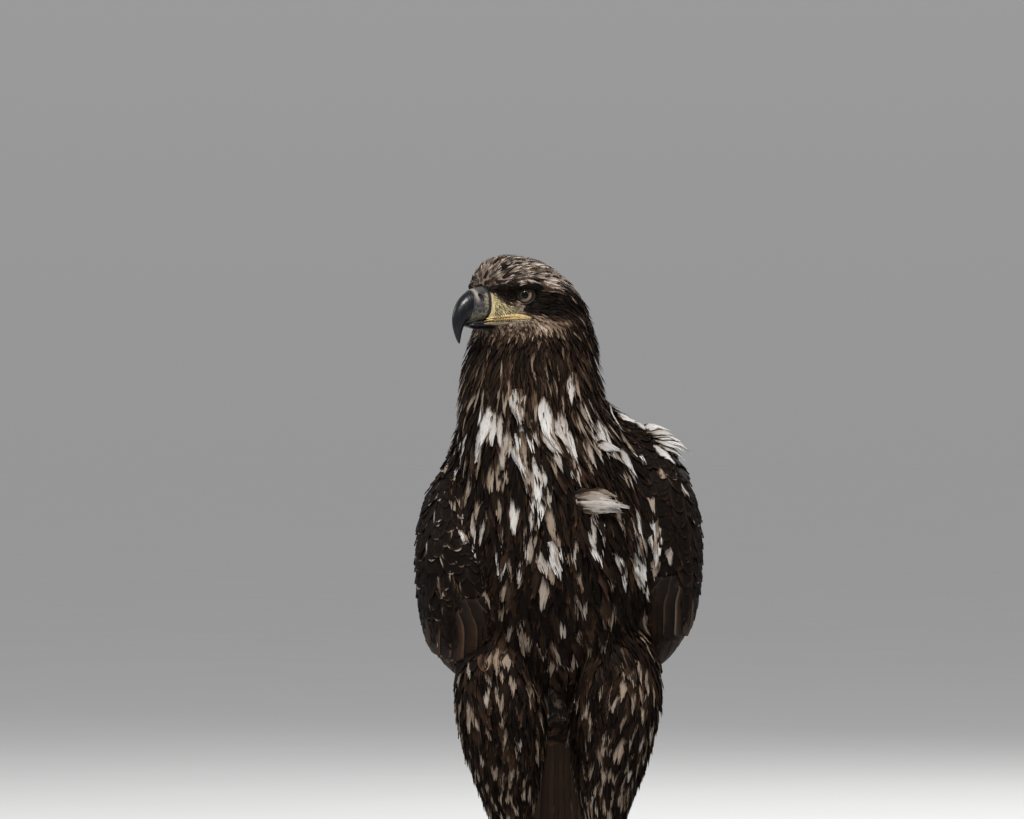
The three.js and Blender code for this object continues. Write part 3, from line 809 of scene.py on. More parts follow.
# Feathers that a stretch has lifted lie across their neighbours.
# across and height of the root, length, width, how white, way across and up, rise, how they cling
ACROSS = [
    (16, 434, 46, 13, 0.55, 1.0, 0.10, 4.5, 0.5),
    (18, 431, 56, 15, 0.8, 1.0, 0.06, 5.5, 0.4),
    (17, 426, 62, 17, 0.95, 1.0, 0.10, 6.5, 0.4),
    (24, 421, 50, 14, 0.7, 1.0, 0.06, 5.5, 0.4),
    (34, 438, 30, 11, 0.5, 0.9, 0.0, 4.5, 0.5),
    (38, 484, 40, 14, 0.9, 1.0, 0.12, 4.0, 0.5),
    (48, 480, 30, 10, 0.5, 1.0, -0.1, 3.5, 0.6),
    (62, 480, 34, 14, 0.9, 0.8, -0.6, 3.2, 0.6),
    (50, 524, 30, 12, 0.95, 0.9, -0.42, 2.6, 0.6),
    (62, 519, 28, 12, 0.9, 0.9, -0.35, 3.0, 0.5),
    (60, 500, 34, 9, 0.5, 0.8, -0.6, 2.0, 0.8),
    (76, 505, 26, 12, 0.9, 1.0, 0.10, 1.0, 0.3),
    (85, 500, 26, 14, 0.9, 1.0, 0.42, -2.0, 0.0),
    (89, 499, 28, 13, 1.0, 1.0, 0.34, -3.0, 0.0),
    (88, 496, 34, 15, 0.8, 1.0, 0.26, -3.0, 0.0),
    (95, 499, 32, 14, 1.0, 1.0, 0.26, -6.0, 0.0),
    (98, 496, 38, 15, 0.95, 1.0, 0.20, -7.0, 0.0),
    (101, 494, 42, 15, 0.85, 1.0, 0.13, -8.0, 0.0),
    (102, 492, 43, 14, 0.95, 1.0, 0.08, -8.0, 0.0),
    (100, 489, 42, 13, 0.6, 1.0, 0.04, -6.0, 0.0),
    (97, 488, 36, 15, 0.85, 1.0, 0.0, -3.0, 0.0),
    (101, 484, 34, 14, 0.7, 1.0, -0.15, -2.0, 0.1),
    (95, 482, 30, 13, 0.9, 0.9, -0.4, 1.0, 0.3),
    (-56, 661, 15, 5, -1.0, 0.5, 0.9, 1.0, 0.3),
    (-52, 663, 15, 5, -1.0, 0.6, 0.8, 1.0, 0.3),
    (-60, 659, 14, 5, -0.9, 0.45, 0.9, 0.8, 0.4),
]


def from_front(x, z):
    """The place on the coat that is seen from the front at a place across and a height."""
    place, _, face, _ = coat_tree.ray_cast(Vector((x, -500.0, z)), Vector((0, 1, 0)))
    if place is None:
        place, _, face, _ = coat_tree.find_nearest(Vector((x, -20.0, z)))
    return np.array(place), face


own_rows = []
for x, z, long, wide, amount, lean, rise in BOLD:
    for fellow in range(3 if amount > 0.75 else 2):
        aside, below = random.normal(0, (0.28 * wide, 0.13 * long)) * (fellow > 0)
        long_one = long * (0.85 if fellow else 1)
        place, face = from_front(x + aside - lean * 0.7 * long_one, z + below + 0.85 * long_one)
        way = lie[coat_faces[face]].mean(0) + np.array([0.5 * lean + 0.01 * aside, 0, 0])
        shape = (0, long_one, wide * (0.8 if fellow else 1.1), rise + 0.6 - 0.5 * fellow, 0.3)
        whiter = random.uniform(0.3, 0.85) if fellow else 1
        own_rows.append((place, face, way, shape, amount * whiter, 1.0))
for x, z, long, wide, amount, way_x, way_z, rise, cling in ACROSS:
    place, face = from_front(x, z)
    way = np.array([way_x, 0, way_z])
    own_rows.append((place, face, way, (0, long, wide, rise, 0.3), amount, cling))
own_roots, own_faces, own_way, own_size, own_white, own_cling = zip(*own_rows)
own = len(own_rows)
roots = np.concatenate([roots, own_roots])
root_faces = np.concatenate([root_faces, own_faces])
print("bold feathers:", own)

# %% [markdown]
# ## How a feather lies
# A feather starts at the skin and follows the surface in the direction of the lie, rising
# slowly so that its tip rests on the feathers below it. Each one is walked over the coat in
# a few short steps. After each step the point is set back on the surface, and the direction
# turns with the lie there. Away from the surface, as past the end of a leg, the free path
# counts for more, or feathers would curl under the edge.

# %% Walk every feather over the coat
WALK = 7  # places along each feather
DROOP = 0.09  # how much a free feather turns down at each of them
face_normals = coat_normals[coat_faces].mean(1)
face_lie = lie[coat_faces].mean(1)
root_size = size[coat_faces[root_faces]].mean(1)
root_size[-own:] = own_size
root_size[-own - hairs : -own] = (0, 5.5, 0.5, 0.9, 0)
root_depth = depth[coat_faces[root_faces]].mean(1)
root_region = region[coat_faces[root_faces][:, 0]]
root_puff = np.clip(1 + 0.45 * puff[coat_faces[root_faces]].mean(1), 0.2, 2.2)


def walk(starts, directions, lengths, hug=1.0):
    """Centre line, surface normal and direction at each place along many feathers."""
    place, way = starts.copy(), directions.copy()
    lines, ups, ways = [], [], []
    stride = (lengths / (WALK - 1))[:, None]
    for _ in range(WALK):
        on, faces = nearest(coat_tree, place)
        up = unit(face_normals[faces])
        gap = np.linalg.norm(on - place, axis=1, keepdims=True)
        hold = step(9.0, 3.0, gap)
        place = lerp(place, on, hold * hug)
        turn = lerp(way, face_lie[faces], 0.45 * hold * step(0.5, 1.0, hug))
        way = unit(turn - (turn * up).sum(1, keepdims=True) * up * hold * hug)
        if lines:
            up = unit(lerp(ups[-1], up, np.maximum(hold, 0.15)))
        lines.append(place)
        ups.append(up)
        ways.append(way)
        way = way - np.array([0, 0, DROOP]) * (1 - hug)
        place = place + way * stride
    return np.stack(lines, 1), np.stack(ups, 1), np.stack(ways, 1)


count = len(roots)
stray = random.normal(0, 1, (count, 1))
start_way = face_lie[root_faces]
sideways = np.cross(start_way, face_normals[root_faces])
ruffle = lerp(0.10, 0.17, step(6, 12, root_size[:, 1:2]) * step(60, 20, root_size[:, 1:2]))
start_way = unit(start_way + sideways * stray * ruffle)
start_way[-own:] = unit(np.array(own_way))
hug = np.ones((count, 1))
hug[-own:, 0] = own_cling
lengths = root_size[:, 1] * np.r_[random.uniform(0.78, 1.2, count - own), np.ones(own)]
on_leg_root = belongs(*LEGS, of=root_region)
TROUSER_END = 87.0
reach = np.where(on_leg_root, np.maximum(roots[:, 2] - TROUSER_END, 6.0), 1e3)
lengths = np.minimum(lengths, reach)
lines, ups, ways = walk(roots, start_way, lengths, hug)
print("walked", count, "feathers")

# %% [markdown]
# ## The vane of a feather
# A contour feather is a shaft with soft barbs, and the barbs stick together in locks whose
# points stand apart at the tip. Most vanes are one grid whose end parts in teeth, and some
# are a fan of narrow grids, one for each lock, squeezed to a point. The rounded feathers of
# the wings hold together, so theirs is a single grid with a round end and a raised shaft. A
# few variants of each are enough, because every feather bends, turns and colours its own copy.


# %% Model the vanes
def flat_grid(columns, rings):
    """A bmesh grid from -1 to 1 across and along."""
    grid = bmesh.new()
    bmesh.ops.create_grid(grid, x_segments=columns, y_segments=rings, size=1)
    return grid


def shaped(bm, place):
    """Moves the corners of a bmesh to where place(x, y) says, and gives them as arrays."""
    points = np.array([v.co[:] for v in bm.verts])
    faces = np.array([[v.index for v in face.verts] for face in bm.faces])
    bm.free()
    return place(points[:, 0], points[:, 1]), faces


def vane_width(q, point):
    return 0.30 + 0.70 * np.sin(np.pi * np.clip(q * 0.62 + 0.12, 0, 1)) - point * q**3


def lock_vane(locks, rings, fall, ragged, point):
    """A soft pointed feather. Its points are (across, along, up) in shares of its size."""
    every, faces, first = [], [], 0
    order = random.permutation(locks)
    split = random.uniform(-0.8, 0.8)
    for n in range(locks):
        middle = (n + 0.5) / locks * 2 - 1
        end = 1 - fall * abs(middle) ** 1.6 - ragged * random.random()
        end -= 0.16 * math.exp(-(((middle - split) / 0.2) ** 2))
        sway = random.normal(0, 0.10)
        grid = flat_grid(2, rings)

        def place(x, y):
            q = (y + 1) / 2
            along = q * end
            spread = vane_width(q, point)
            half = 1.5 / locks * (0.35 + 0.65 * np.minimum(1, q * 3)) * np.clip(1 - q**2.8, 0, 1) ** 0.8
            centre = middle * spread + sway * q**3
            up = 0.12 * (1 - x**2) * half + 0.045 * (order[n] / locks) * np.minimum(1, 2 * q)
            return np.stack([centre + x * (half + 0.010), along, up], -1)

        points, quads = shaped(grid, place)
        every.append(points)
        faces.append(quads + first)
        first += len(points)
    return np.concatenate(every), np.concatenate(faces)


def toothed_vane(teeth, rings, fall, ragged, cut, point):
    """A feather whose barbs hold together as far as its tip, where they part in teeth."""
    columns = 2 * teeth
    across = np.linspace(-1, 1, columns + 1)
    ends = 1 - fall * np.abs(across) ** 1.8 - ragged * random.random(columns + 1)
    ends[0::2] -= cut * random.uniform(0.5, 1.3, teeth + 1)
    sway = random.normal(0, 0.07, columns + 1)
    lean = random.normal(0, 0.10)
    grid = flat_grid(columns, rings)

    def place(x, y):
        q = 1 - (1 - (y + 1) / 2) ** 1.3
        column = np.rint((x + 1) / 2 * columns).astype(int)
        spread = vane_width(q, point)
        centre = x * spread + sway[column] * q**4 + lean * q**2
        up = 0.05 * (column % 2) * q + 0.05 * np.exp(-((x / 0.2) ** 2)) * (1 - q)
        return np.stack([centre, q * ends[column], up + 0.04 * q**2 * np.sin(4 * x + 9 * lean)], -1)

    return shaped(grid, place)


def round_vane(columns, rings, split):
    """A firm feather with a round end, and a small split in it."""
    grid = flat_grid(columns, rings)
    notch, lean = random.uniform(-0.7, 0.7), random.normal(0, 0.07)
    BODY = 0.52  # where the round end begins

    def place(x, y):
        q = 1 - (1 - (y + 1) / 2) ** 1.35
        half = 0.40 + 0.60 * np.sin(np.pi / 2 * np.clip(q * 2.2, 0, 1))
        past = np.clip((q - BODY) / (1 - BODY), 0, 1)
        half = half * np.sqrt(np.clip(1 - past**2.3, 0.004, 1))
        slit = split * np.exp(-(((x - notch) / 0.16) ** 2)) * past**4
        shaft = 0.06 * np.exp(-((x / 0.12) ** 2)) * (1 - q)
        curl = 0.05 * past**2 * np.sin(5 * x + 9 * notch)
        return np.stack([x * half + lean * past, q - slit, shaft + curl], -1)

    return shaped(grid, place)


VARIANTS, LOOSE = 9, 2  # ways of each vane, and how many of them are loose locks


def both(teeth, rings, fall, ragged, cut, point):
    firm_ones = [toothed_vane(teeth, rings, fall, ragged, cut, point) for _ in range(VARIANTS - LOOSE)]
    return firm_ones + [lock_vane(teeth + 1, rings, fall, ragged, point) for _ in range(LOOSE)]


VANES = {
    "bristle": both(2, 3, 0.2, 0.15, 0.35, 0.3),
    "small": both(3, 5, 0.70, 0.10, 0.14, 0.35),
    "lance": both(5, 6, 0.55, 0.10, 0.18, 0.42),
    "broad": both(7, 7, 0.46, 0.08, 0.16, 0.25),
    "round": [round_vane(8, 9, 0.10) for _ in range(VARIANTS)],
}
for name, variants in VANES.items():
    print(name, "vane:", len(variants[0][1]), "faces")

# %% [markdown]
# ## Lay the vanes over the coat
# Every corner of a vane is placed by three numbers: how far along its line it is, how far to
# the side of it, and how high over the surface. Numpy does that for thousands of feathers at
# once. Each feather also carries what its material needs: where a place is on the vane, how
# white, pale, warm and edged the feather is, and a number of its own.


# %% Lay vanes along their lines
class Plumage:
    """Feathers gathered for one piece."""

    def __init__(self):
        self.rows = {key: [] for key in ("points", "faces", "vane", "bake", "marks", "seeds")}
        self.total = 0

    def gather(self, points, faces, vane, bake, marks, seeds):
        """Takes many feathers that have the same faces."""
        many, each = points.shape[:2]
        starts = self.total + (np.arange(many) * each)[:, None, None]
        self.total += many * each
        rows = (points, faces[None] + starts, np.tile(vane, (many, 1, 1)), bake, marks, seeds)
        for key, row in zip(self.rows, rows):
            row = np.repeat(row, each, 0) if key in ("marks", "seeds") else row.reshape(-1, row.shape[-1])
            self.rows[key].append(row)

    def lay(self, vane, lines, ups, ways, widths, root_depth, rise, cup, bake, marks, seeds):
        """Lays one variant of a vane along many lines at once."""
        (across, along, up), faces = vane[0].T, vane[1]
        place = np.clip(along, 0, 1) * (lines.shape[1] - 1)
        i = np.minimum(place.astype(int), lines.shape[1] - 2)
        share = (place - i)[None, :, None]
        centre = lerp(lines[:, i], lines[:, i + 1], share)
        normal = unit(lerp(ups[:, i], ups[:, i + 1], share))
        side = unit(np.cross(lerp(ways[:, i], ways[:, i + 1], share), normal))
        half = widths[:, None] / 2
        lift = (
            -root_depth[:, None] * (1 - along) ** 1.5
            + rise[:, None] * along**2
            + up * half * 2
            - cup[:, None] * half * across**2
        )
        points = centre + side * (across * half)[..., None] + normal * lift[..., None]
        vane_uv = np.stack([across * 0.5 + 0.5, along], -1)
        patch = np.clip(bake[:, None] + (vane_uv - 0.5)[None] * PATCH, 0.0005, 0.9995)
        self.gather(points, faces, vane_uv, patch, marks, seeds)

    def piece(self, name):
        rows = {key: np.concatenate(row) for key, row in self.rows.items()}
        faces = rows["faces"]
        mesh = mesh_of(name, rows["points"], faces)
        for uv_name, key in (("vane", "vane"), (BAKE_MAP, "bake")):
            layer = mesh.uv_layers.new(name=uv_name)
            layer.data.foreach_set("uv", rows[key][faces.ravel()].ravel())
        note(mesh, "marks", "FLOAT_COLOR", rows["marks"])
        note(mesh, "seed", "FLOAT", rows["seeds"])
        print(name, len(faces) * 2, "triangles")
        return piece_of(name, mesh)


# %% [markdown]
# ## The bird's markings
# A second-year eagle is dark brown, with a pale streaked crown, a dark stripe through the
# eye and white drops scattered over the breast, belly and back. The markings are functions
# of the place on the bird: how pale the ground is, how warm, how likely a white feather is
# and how strongly the feathers are edged. The boldest white feathers stand where this bird
# has them. Feathers and skin ask the same function, so they can't disagree.

# %% Markings of any place
def crown_line(f):
    """The height in the head's frame of the pale crown's lower edge."""
    over = np.interp(f, [-20, -4, 30, 36], [-1.0, 1.6, 1.6, 0.0])
    return np.where(f > -30, brow_line(f) + over, np.interp(f, [-80, -60, -30], [-7, -3, 3.6]))


def markings(points):
    """Tone, warmth, chance of white, edging, and how far a place is on the head."""
    x, _, z = points.T
    at, angle, _ = body_place(points)
    f, _, u = to_head(points).T
    head = step(556, 590, z)
    back = step(0.1, 0.7, np.sin(angle))
    crown = step(-1.5, 1.5, u - crown_line(f)) * step(-82, -62, f)
    cheek = step(-19, -25, u - 0.12 * f) * step(-48, -14, f) * step(-50, -40, u) * step(8, 0, f)
    chin = step(-26, -30, u) * step(-12, 8, f) * step(-58, -40, u)
    stripe = step(-26, -16, u) * (1 - crown)
    under_eye = step(-21, -17, u) * step(-5, -11, u) * step(26, 18, f) * step(-2, 6, f)
    tone = 0.09 + 0.09 * step(470, 530, z) * step(600, 570, z)
    tone = tone * (1 - 0.5 * back)
    tone = tone * (1 - 0.55 * step(85, 115, np.abs(x)) * step(520, 490, z))  # the folded wings are darker
    tone = lerp(tone, 0.13, head)
    tone = lerp(tone, 0.0, stripe * head * step(-72, -58, f))
    tone = lerp(tone, 0.80, under_eye * head * (1 - crown))
    tone = lerp(tone, np.interp(f, [-60, -30, -10, 14, 30], [1.0, 1.0, 1.0, 0.86, 0.66]), crown * head)
    tone = lerp(tone, 0.86, np.maximum(0.9 * cheek, 0.5 * chin) * head)
    below_gape = step(-25, -27, u) * step(-33, -30, u) * step(-4, 2, f) * step(38, 28, f)
    tone = lerp(tone, 0.84, below_gape * head)
    warm = lerp(0.35, 0.12, head) + 0.25 * np.maximum(cheek, chin) * head
    warm = lerp(warm, 0.0, under_eye * head)
    breast = step(550, 515, z) * (1 - back) * step(120, 90, np.abs(x))
    upper = breast * step(440, 470, z)
    plain = step(-25, -65, x) * step(515, 550, z)  # the bird's right side of the neck has few
    white = 0.02 + 0.09 * step(600, 560, z) * (1 - head) * (1 - 0.7 * upper) + 0.06 * upper + 0.02 * breast
    white = white * (1 - 0.8 * plain)
    white = white + 0.08 * step(340, 290, z) * (1 - back)
    white = white + 0.22 * back * step(2.5, 4, at) * step(8.5, 6, at)
    white = white * (1 - head * step(-60, -40, f))
    edging = 0.20 + 0.50 * upper
    return tone, warm, white, edging, head


# %% Give every feather its marks
seen = lines[:, 5]
tone, warm, white_chance, edging, head_share = markings(seen)
draw = random.random(count)
boldest = lerp(0.30, 0.95, step(545, 500, seen[:, 2])) * lerp(1, 0.6, step(350, 310, seen[:, 2]))
white = np.where(draw < white_chance, random.uniform(0.15, 1.0, count) * boldest, 0.0)
f, l, u = to_head(seen).T
is_crown = (head_share > 0.5) & (tone > 0.5) & (u > crown_line(f) - 1)
streak = random.uniform(0.3, 0.75, count) * lerp(1.0, 0.55, step(-8, -34, f))
white = np.where(is_crown, -streak, white)
paler = random.random(count)
tone = lerp(tone * (0.3 + 1.4 * paler) + 0.28 * paler**5, tone * (0.75 + 0.45 * paler), step(0.4, 0.6, tone))
tone = np.where(is_crown & (random.random(count) < lerp(0.34, 0.07, step(6, -26, f))), 0.08, tone)
on_wing_root = belongs(*WINGS, of=root_region)
white = np.where(on_wing_root, np.where(draw < 0.03, random.uniform(0.15, 0.4, count), 0.0), white)
white[-own:] = own_white
white[-own - hairs : -own], tone[-own - hairs : -own] = 0, random.uniform(0.05, 0.5, hairs)
tone = np.where(on_wing_root, tone * 0.2, tone)
fringed = (random.random(count) < lerp(0.12, 0.36, seen[:, 0] < 0)) * random.uniform(0.3, 1.0, count)
edging = np.where(on_wing_root, fringed, edging * random.uniform(0, 2, count))
edging = np.where(is_crown, 0.0, edging)
warm = warm * random.uniform(0, 2, count) * np.where(on_wing_root, 0.15, 1.0)
marks = np.stack([np.clip(white, -1, 1), np.clip(tone, 0, 1), np.clip(warm, 0, 1), np.clip(edging, 0, 1)], -1)
seeds = random.random(count)
print("white feathers:", int((white > 0).sum()))

# %% Lay the small feathers, piece by piece
_, root_skin = nearest(skin_tree, roots)
bake = skin_face_uv[root_skin]
is_own = np.arange(count) >= count - own
own_sunk = np.where(hug[:, 0] < 1, -1.8, 1.2)  # how deep their roots are
kinds = np.select(
    [is_own, root_size[:, 1] < 9, root_size[:, 1] < 24.5, root_size[:, 4] > 0.6, root_size[:, 2] < 13],
    ["broad", "bristle", "small", "round", "lance"],
    "broad",
)
variants = random.integers(0, VARIANTS, count)
PIECES = {
    "head_feathers": ["head"],
    "neck_feathers": ["neck"],
    "body_feathers": ["trunk", "tail"],
    "left_wing_coverts": [w for w in WINGS if "left" in w],
    "right_wing_coverts": [w for w in WINGS if "right" in w],
    "left_leg_feathers": ["leg_left_feathered"],
    "right_leg_feathers": ["leg_right_feathered"],
}
feather_pieces = {}


def lay_alike(coat_of, vane, chosen):
    """Lays the chosen feathers, which share one variant of a vane."""
    _, _, wide, rise, roundness = root_size[chosen].T
    puffed = root_puff[chosen] * random.uniform(0.2, 1.8, len(chosen))
    wide = wide * random.uniform(0.85, 1.15, len(chosen))
    deep = np.where(is_own[chosen], own_sunk[chosen], root_depth[chosen] * 0.85)
    rise = rise * np.where(is_own[chosen], 1.0, puffed)
    path = (lines[chosen], ups[chosen], ways[chosen])
    looks = (bake[chosen], marks[chosen], seeds[chosen])
    coat_of.lay(vane, *path, wide, deep, rise, lerp(0.20, 0.10, roundness), *looks)


for name, nodes in PIECES.items():
    coat_of = Plumage()
    mine = belongs(*nodes, of=root_region)
    for kind, vanes in VANES.items():
        for number, vane in enumerate(vanes):
            chosen = np.flatnonzero(mine & (kinds == kind) & (variants == number))
            if len(chosen):
                lay_alike(coat_of, vane, chosen)
    feather_pieces[name] = coat_of.piece(name)

# %% [markdown]
# ## The long feathers of wings and tail
# Secondaries, primaries and tail feathers are stiff and few, so each is laid by its own
# place. A feather's corners are placed on the drawing of the wing or tail. Each overlaps the
# next as on the real bird: the innermost lies on top in the wing, and the middle pair on top
# in the tail. They get a real thickness of half a millimetre.


# %% Lay the quills of a wing or tail
QUILL_THICK = 0.5
QUILL_STEP = 1.6  # how far one quill's free edge stands over the next


class Quills(Plumage):
    """Long feathers gathered for one piece. Each bakes to a card of its own."""

    def __init__(self, cards):
        super().__init__()
        self.card, self.side = 0, math.ceil(math.sqrt(cards))

    def add(self, place, columns, rings, marks):
        """place(x, y, slit) gives a corner for x from -1 to 1 across and y from 0 to 1 along."""
        notches = random.uniform(-0.9, 0.9, 2)
        (x, y), faces = shaped(flat_grid(columns, rings), lambda x, y: (x, (y + 1) / 2))
        slit = sum(np.exp(-(((x - n) / 0.14) ** 2)) for n in notches) * step(0.9, 1.0, y)
        uv = np.stack([x * 0.5 + 0.5, y], -1)
        corner = np.array([self.card % self.side, self.card // self.side])
        self.card += 1
        bake = (corner + 0.04 + 0.92 * uv) / self.side
        self.gather(place(x, y, slit)[None], faces, uv, bake, np.array([marks]), random.random(1))

    def piece(self, name):
        piece = super().piece(name)
        thick = piece.modifiers.new("thickness", "SOLIDIFY")
        thick.thickness = QUILL_THICK * MM
        thick.offset = -1
        return piece


def web(y, tip):
    """How much of a quill's width is left, narrow at the root and rounded at the tip."""
    past = np.clip((y - 1 + tip) / (tip * 1.03), 0, 1)
    return (0.45 + 0.55 * np.sin(np.pi / 2 * np.clip(y * 2.5, 0, 1))) * np.sqrt(1 - past**2.4)


def shaft(x, width=0.09):
    return 0.45 * np.exp(-(((x + 0.15) / width) ** 2))


LAYERS = {  # feathers, from, to, thickness share, rounding
    "greater": (17, lambda t: coverts_end(t) - 1.0, lambda t: coverts_end(t) + 0.28, 1.0, 0.16),
    "secondaries": (16, lambda t: coverts_end(t) - 0.6, secondaries_end, 0.86, 0.22),
    "primaries": (11, lambda t: secondaries_end(t) - 0.9, primaries_end, 0.72, 0.26),
}
COVERED = ([-0.5, 0.05, 0.55], [4.5, 2.0, 0.0])  # how deep they are under the ends of the coverts
CROWDED = 1.45  # the feathers stand closer towards the wing's lower edge
wing_quills = {}
for side in SIDES:
    quills = Quills(sum(layer[0] for layer in LAYERS.values()))
    for layer, (many, begin, finish, thin, lobe) in LAYERS.items():
        for n in range(many):
            begins, ends = (n / many) ** CROWDED, ((n + 1) / many) ** CROWDED
            middle, half = (begins + ends) / 2, 1.1 * (ends - begins) + 0.006
            length = random.uniform(-0.06, 0.06)

            def place(x, y, slit):
                wide = web(y, 0.14)
                t = np.clip(middle + x * half * wide, 0.0, 1.0)
                a = begin(middle)
                b = finish(middle) + length - lobe * x**2 - 0.05 * slit
                where = lerp(a, b, y)
                share = np.where(y < 0.12, 0.9, 1.0) * thin
                out = 0.5 + QUILL_STEP * (0.5 - 0.5 * x * wide) + shaft(x) * (1 - y)
                out = out - np.interp(where - coverts_end(t), *COVERED)
                return on_wing(side, where, t, share, out)

            pale = random.uniform(0.0, 0.22)
            quills.add(place, 8, 18, (0, pale, random.uniform(0, 0.3), random.uniform(0.1, 0.7)))
    wing_quills[side] = quills.piece(f"{side}_wing_quills")

# %% The tail
TAIL = {"length": 312, "y": 118, "z": 243, "drop": math.radians(41), "from": 10}
TAIL_FEATHERS = 12
TAIL_HALF = (34, 62)


def on_tail_at(across, far, lift):
    half = lerp(*TAIL_HALF, np.clip(far / TAIL["length"], 0, 1) ** 1.2)
    lift = lift - 9 * across**2
    down = TAIL["drop"]
    return np.stack(
        [
            across * half,
            TAIL["y"] + far * math.cos(down) + lift * math.sin(down),
            TAIL["z"] - far * math.sin(down) + lift * math.cos(down),
        ],
        -1,
    )


tail = Quills(TAIL_FEATHERS)
for n in range(TAIL_FEATHERS):
    middle, half = 0.78 * ((n + 0.5) / TAIL_FEATHERS * 2 - 1), 0.26
    inward = -np.sign(middle)
    stack = (1 - abs(middle)) * 2.2

    def place(x, y, slit):
        wide = web(y, 0.06)
        across = middle + x * half * wide
        reach = TAIL["length"] - 20 * middle**2 - 9 * x**2 - 3 * slit
        far = lerp(TAIL["from"], reach, y)
        lift = 0.3 + stack * 1.5 + 0.3 * (0.5 + 0.5 * inward * x) + shaft(x, 0.05) * (1 - y)
        return on_tail_at(np.clip(across, -1.02, 1.02), far, lift)

    tail.add(place, 8, 20, (max(0.0, random.uniform(-0.15, 0.25)), random.uniform(0.04, 0.2), 0.2, 0.12))
tail_piece = tail.piece("tail_quills")

# %% [markdown]
# ## Round bodies bent to shape
# Bill, eyes and claws are closed round bodies. Each starts as a ball with its poles at the
# ends, and a formula moves every ring of it to its place along the piece. The ends close over
# a small rounded cap.


# %% Bend a ball to shape
def pod(around, rings, place, cap=0.12):
    """A closed round body: place(share of the length, angle, how far out) gives its surface."""
    ball = bmesh.new()
    bmesh.ops.create_uvsphere(ball, u_segments=around, v_segments=rings, radius=1)
    x, y, z = np.array([v.co[:] for v in ball.verts]).T
    part = np.arccos(np.clip(z, -1, 1)) / np.pi
    end = np.minimum(part, 1 - part) / cap
    out = np.where(end >= 1, 1, np.sqrt(np.clip(1 - (1 - end) ** 2, 0, 1)))
    for v, point in zip(ball.verts, place(part, np.arctan2(y, x), out)):
        v.co = point
    return ball


def finished(bm, name, slot, *replaced):
    """A bmesh on the drawing, made a piece of the bird."""
    for v in bm.verts:
        v.co = to_frame(v.co[:])
    bmesh.ops.recalc_face_normals(bm, faces=bm.faces)
    for face in bm.faces:
        face.smooth = True
    piece = piece_of(name, mesh_from(bm, name))
    join_bird(piece, slot, *replaced)
    return piece


def join_bird(piece, slot, *replaced):
    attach(piece, "root")
    if replaced:
        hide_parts(*replaced)


# %% [markdown]
# ## The bill
# The hooked upper bill is one curve of sections from the forehead to the tip: the ridge, the
# cutting edge below it and the half width. The soft cere covers its root, with a nostril on
# each side. Cere and horn are cut from the same shape by the same plane, so that they meet,
# and the cere swells a little over the horn.

# %% Sections of the bill
# place, ridge forward and up, cutting edge forward and up, half width
UPPER_BILL = [
    (0, 26, 10, 22, -24, 16),
    (1, 38, 8, 36, -24.5, 13.5),
    (2, 49, 5, 45.5, -25, 11),
    (3, 58.5, -1, 52, -26.5, 9),
    (4, 65.5, -9.5, 56, -29, 7.2),
    (5, 69.5, -20, 58.5, -33.5, 5.7),
    (6, 69.5, -31, 60, -38.5, 4.2),
    (7, 66.3, -41.5, 61, -44.5, 2.4),
    (8, 62.5, -48.5, 61.5, -48, 0.9),
]
LOWER_BILL = [
    (0, 22, -24.6, 20, -33, 14.5),
    (1, 38, -25.2, 38, -33.5, 11.5),
    (2, 49, -26.2, 48, -32.5, 8.5),
    (3, 54.5, -28.6, 54, -31, 4.5),
]
CERE_END = 50.0
NOSTRIL = {"forward": 42.5, "up": -2.5, "long": 2.6, "tall": 3.6, "deep": 3.2}


def bill_body(stations, around, rings, cap=0.04, shape=None):
    table = curves(stations, "ridge ridge_up edge edge_up half")

    def place(share, angle, out):
        where = share * stations[-1][0]
        zero = 0 * where
        ridge = np.stack([table["ridge"](where), zero, table["ridge_up"](where)], -1)
        edge = np.stack([table["edge"](where), zero, table["edge_up"](where)], -1)
        middle = (ridge + edge) / 2
        up = np.sin(angle)[:, None] * (ridge - middle) * out[:, None]
        side = np.cos(angle) * table["half"](where) * out
        points = middle + up + np.stack([zero, side, zero], -1)
        if shape:
            points = shape(points)
        return points

    return pod(around, rings, place, cap)


def cere_form(points):
    """The cere swells over the horn and sinks into each nostril."""
    f, l, u = points.T
    swell = 0.7 * step(CERE_END + 1.0, CERE_END - 1.5, f)
    hole = ((f - NOSTRIL["forward"] - 0.35 * (u - NOSTRIL["up"])) / NOSTRIL["long"]) ** 2
    hole = hole + ((u - NOSTRIL["up"]) / NOSTRIL["tall"]) ** 2
    sink = NOSTRIL["deep"] * step(1.6, 0.4, hole) - 0.45 * np.exp(-((hole - 2.0) ** 2))
    side = np.sign(l) * (np.abs(l) + swell - sink * step(3, 7, np.abs(l)))
    return np.stack([f, side, u + 0.5 * swell * np.sign(u + 8) * (f < CERE_END)], -1)


def cut_bill(bm, keep_front):
    """Keeps what is before or behind the end of the cere, and closes the cut."""
    geometry = list(bm.verts) + list(bm.edges) + list(bm.faces)
    cut = bmesh.ops.bisect_plane(
        bm,
        geom=geometry,
        plane_co=(CERE_END, 0, 0),
        plane_no=(1, 0, 0.12),
        clear_inner=keep_front,
        clear_outer=not keep_front,
    )
    rim = [g for g in cut["geom_cut"] if isinstance(g, bmesh.types.BMEdge)]
    bmesh.ops.edgeloop_fill(bm, edges=rim)
    return bm


def in_head(bm):
    for v in bm.verts:
        v.co = from_head(v.co[:])
    return bm


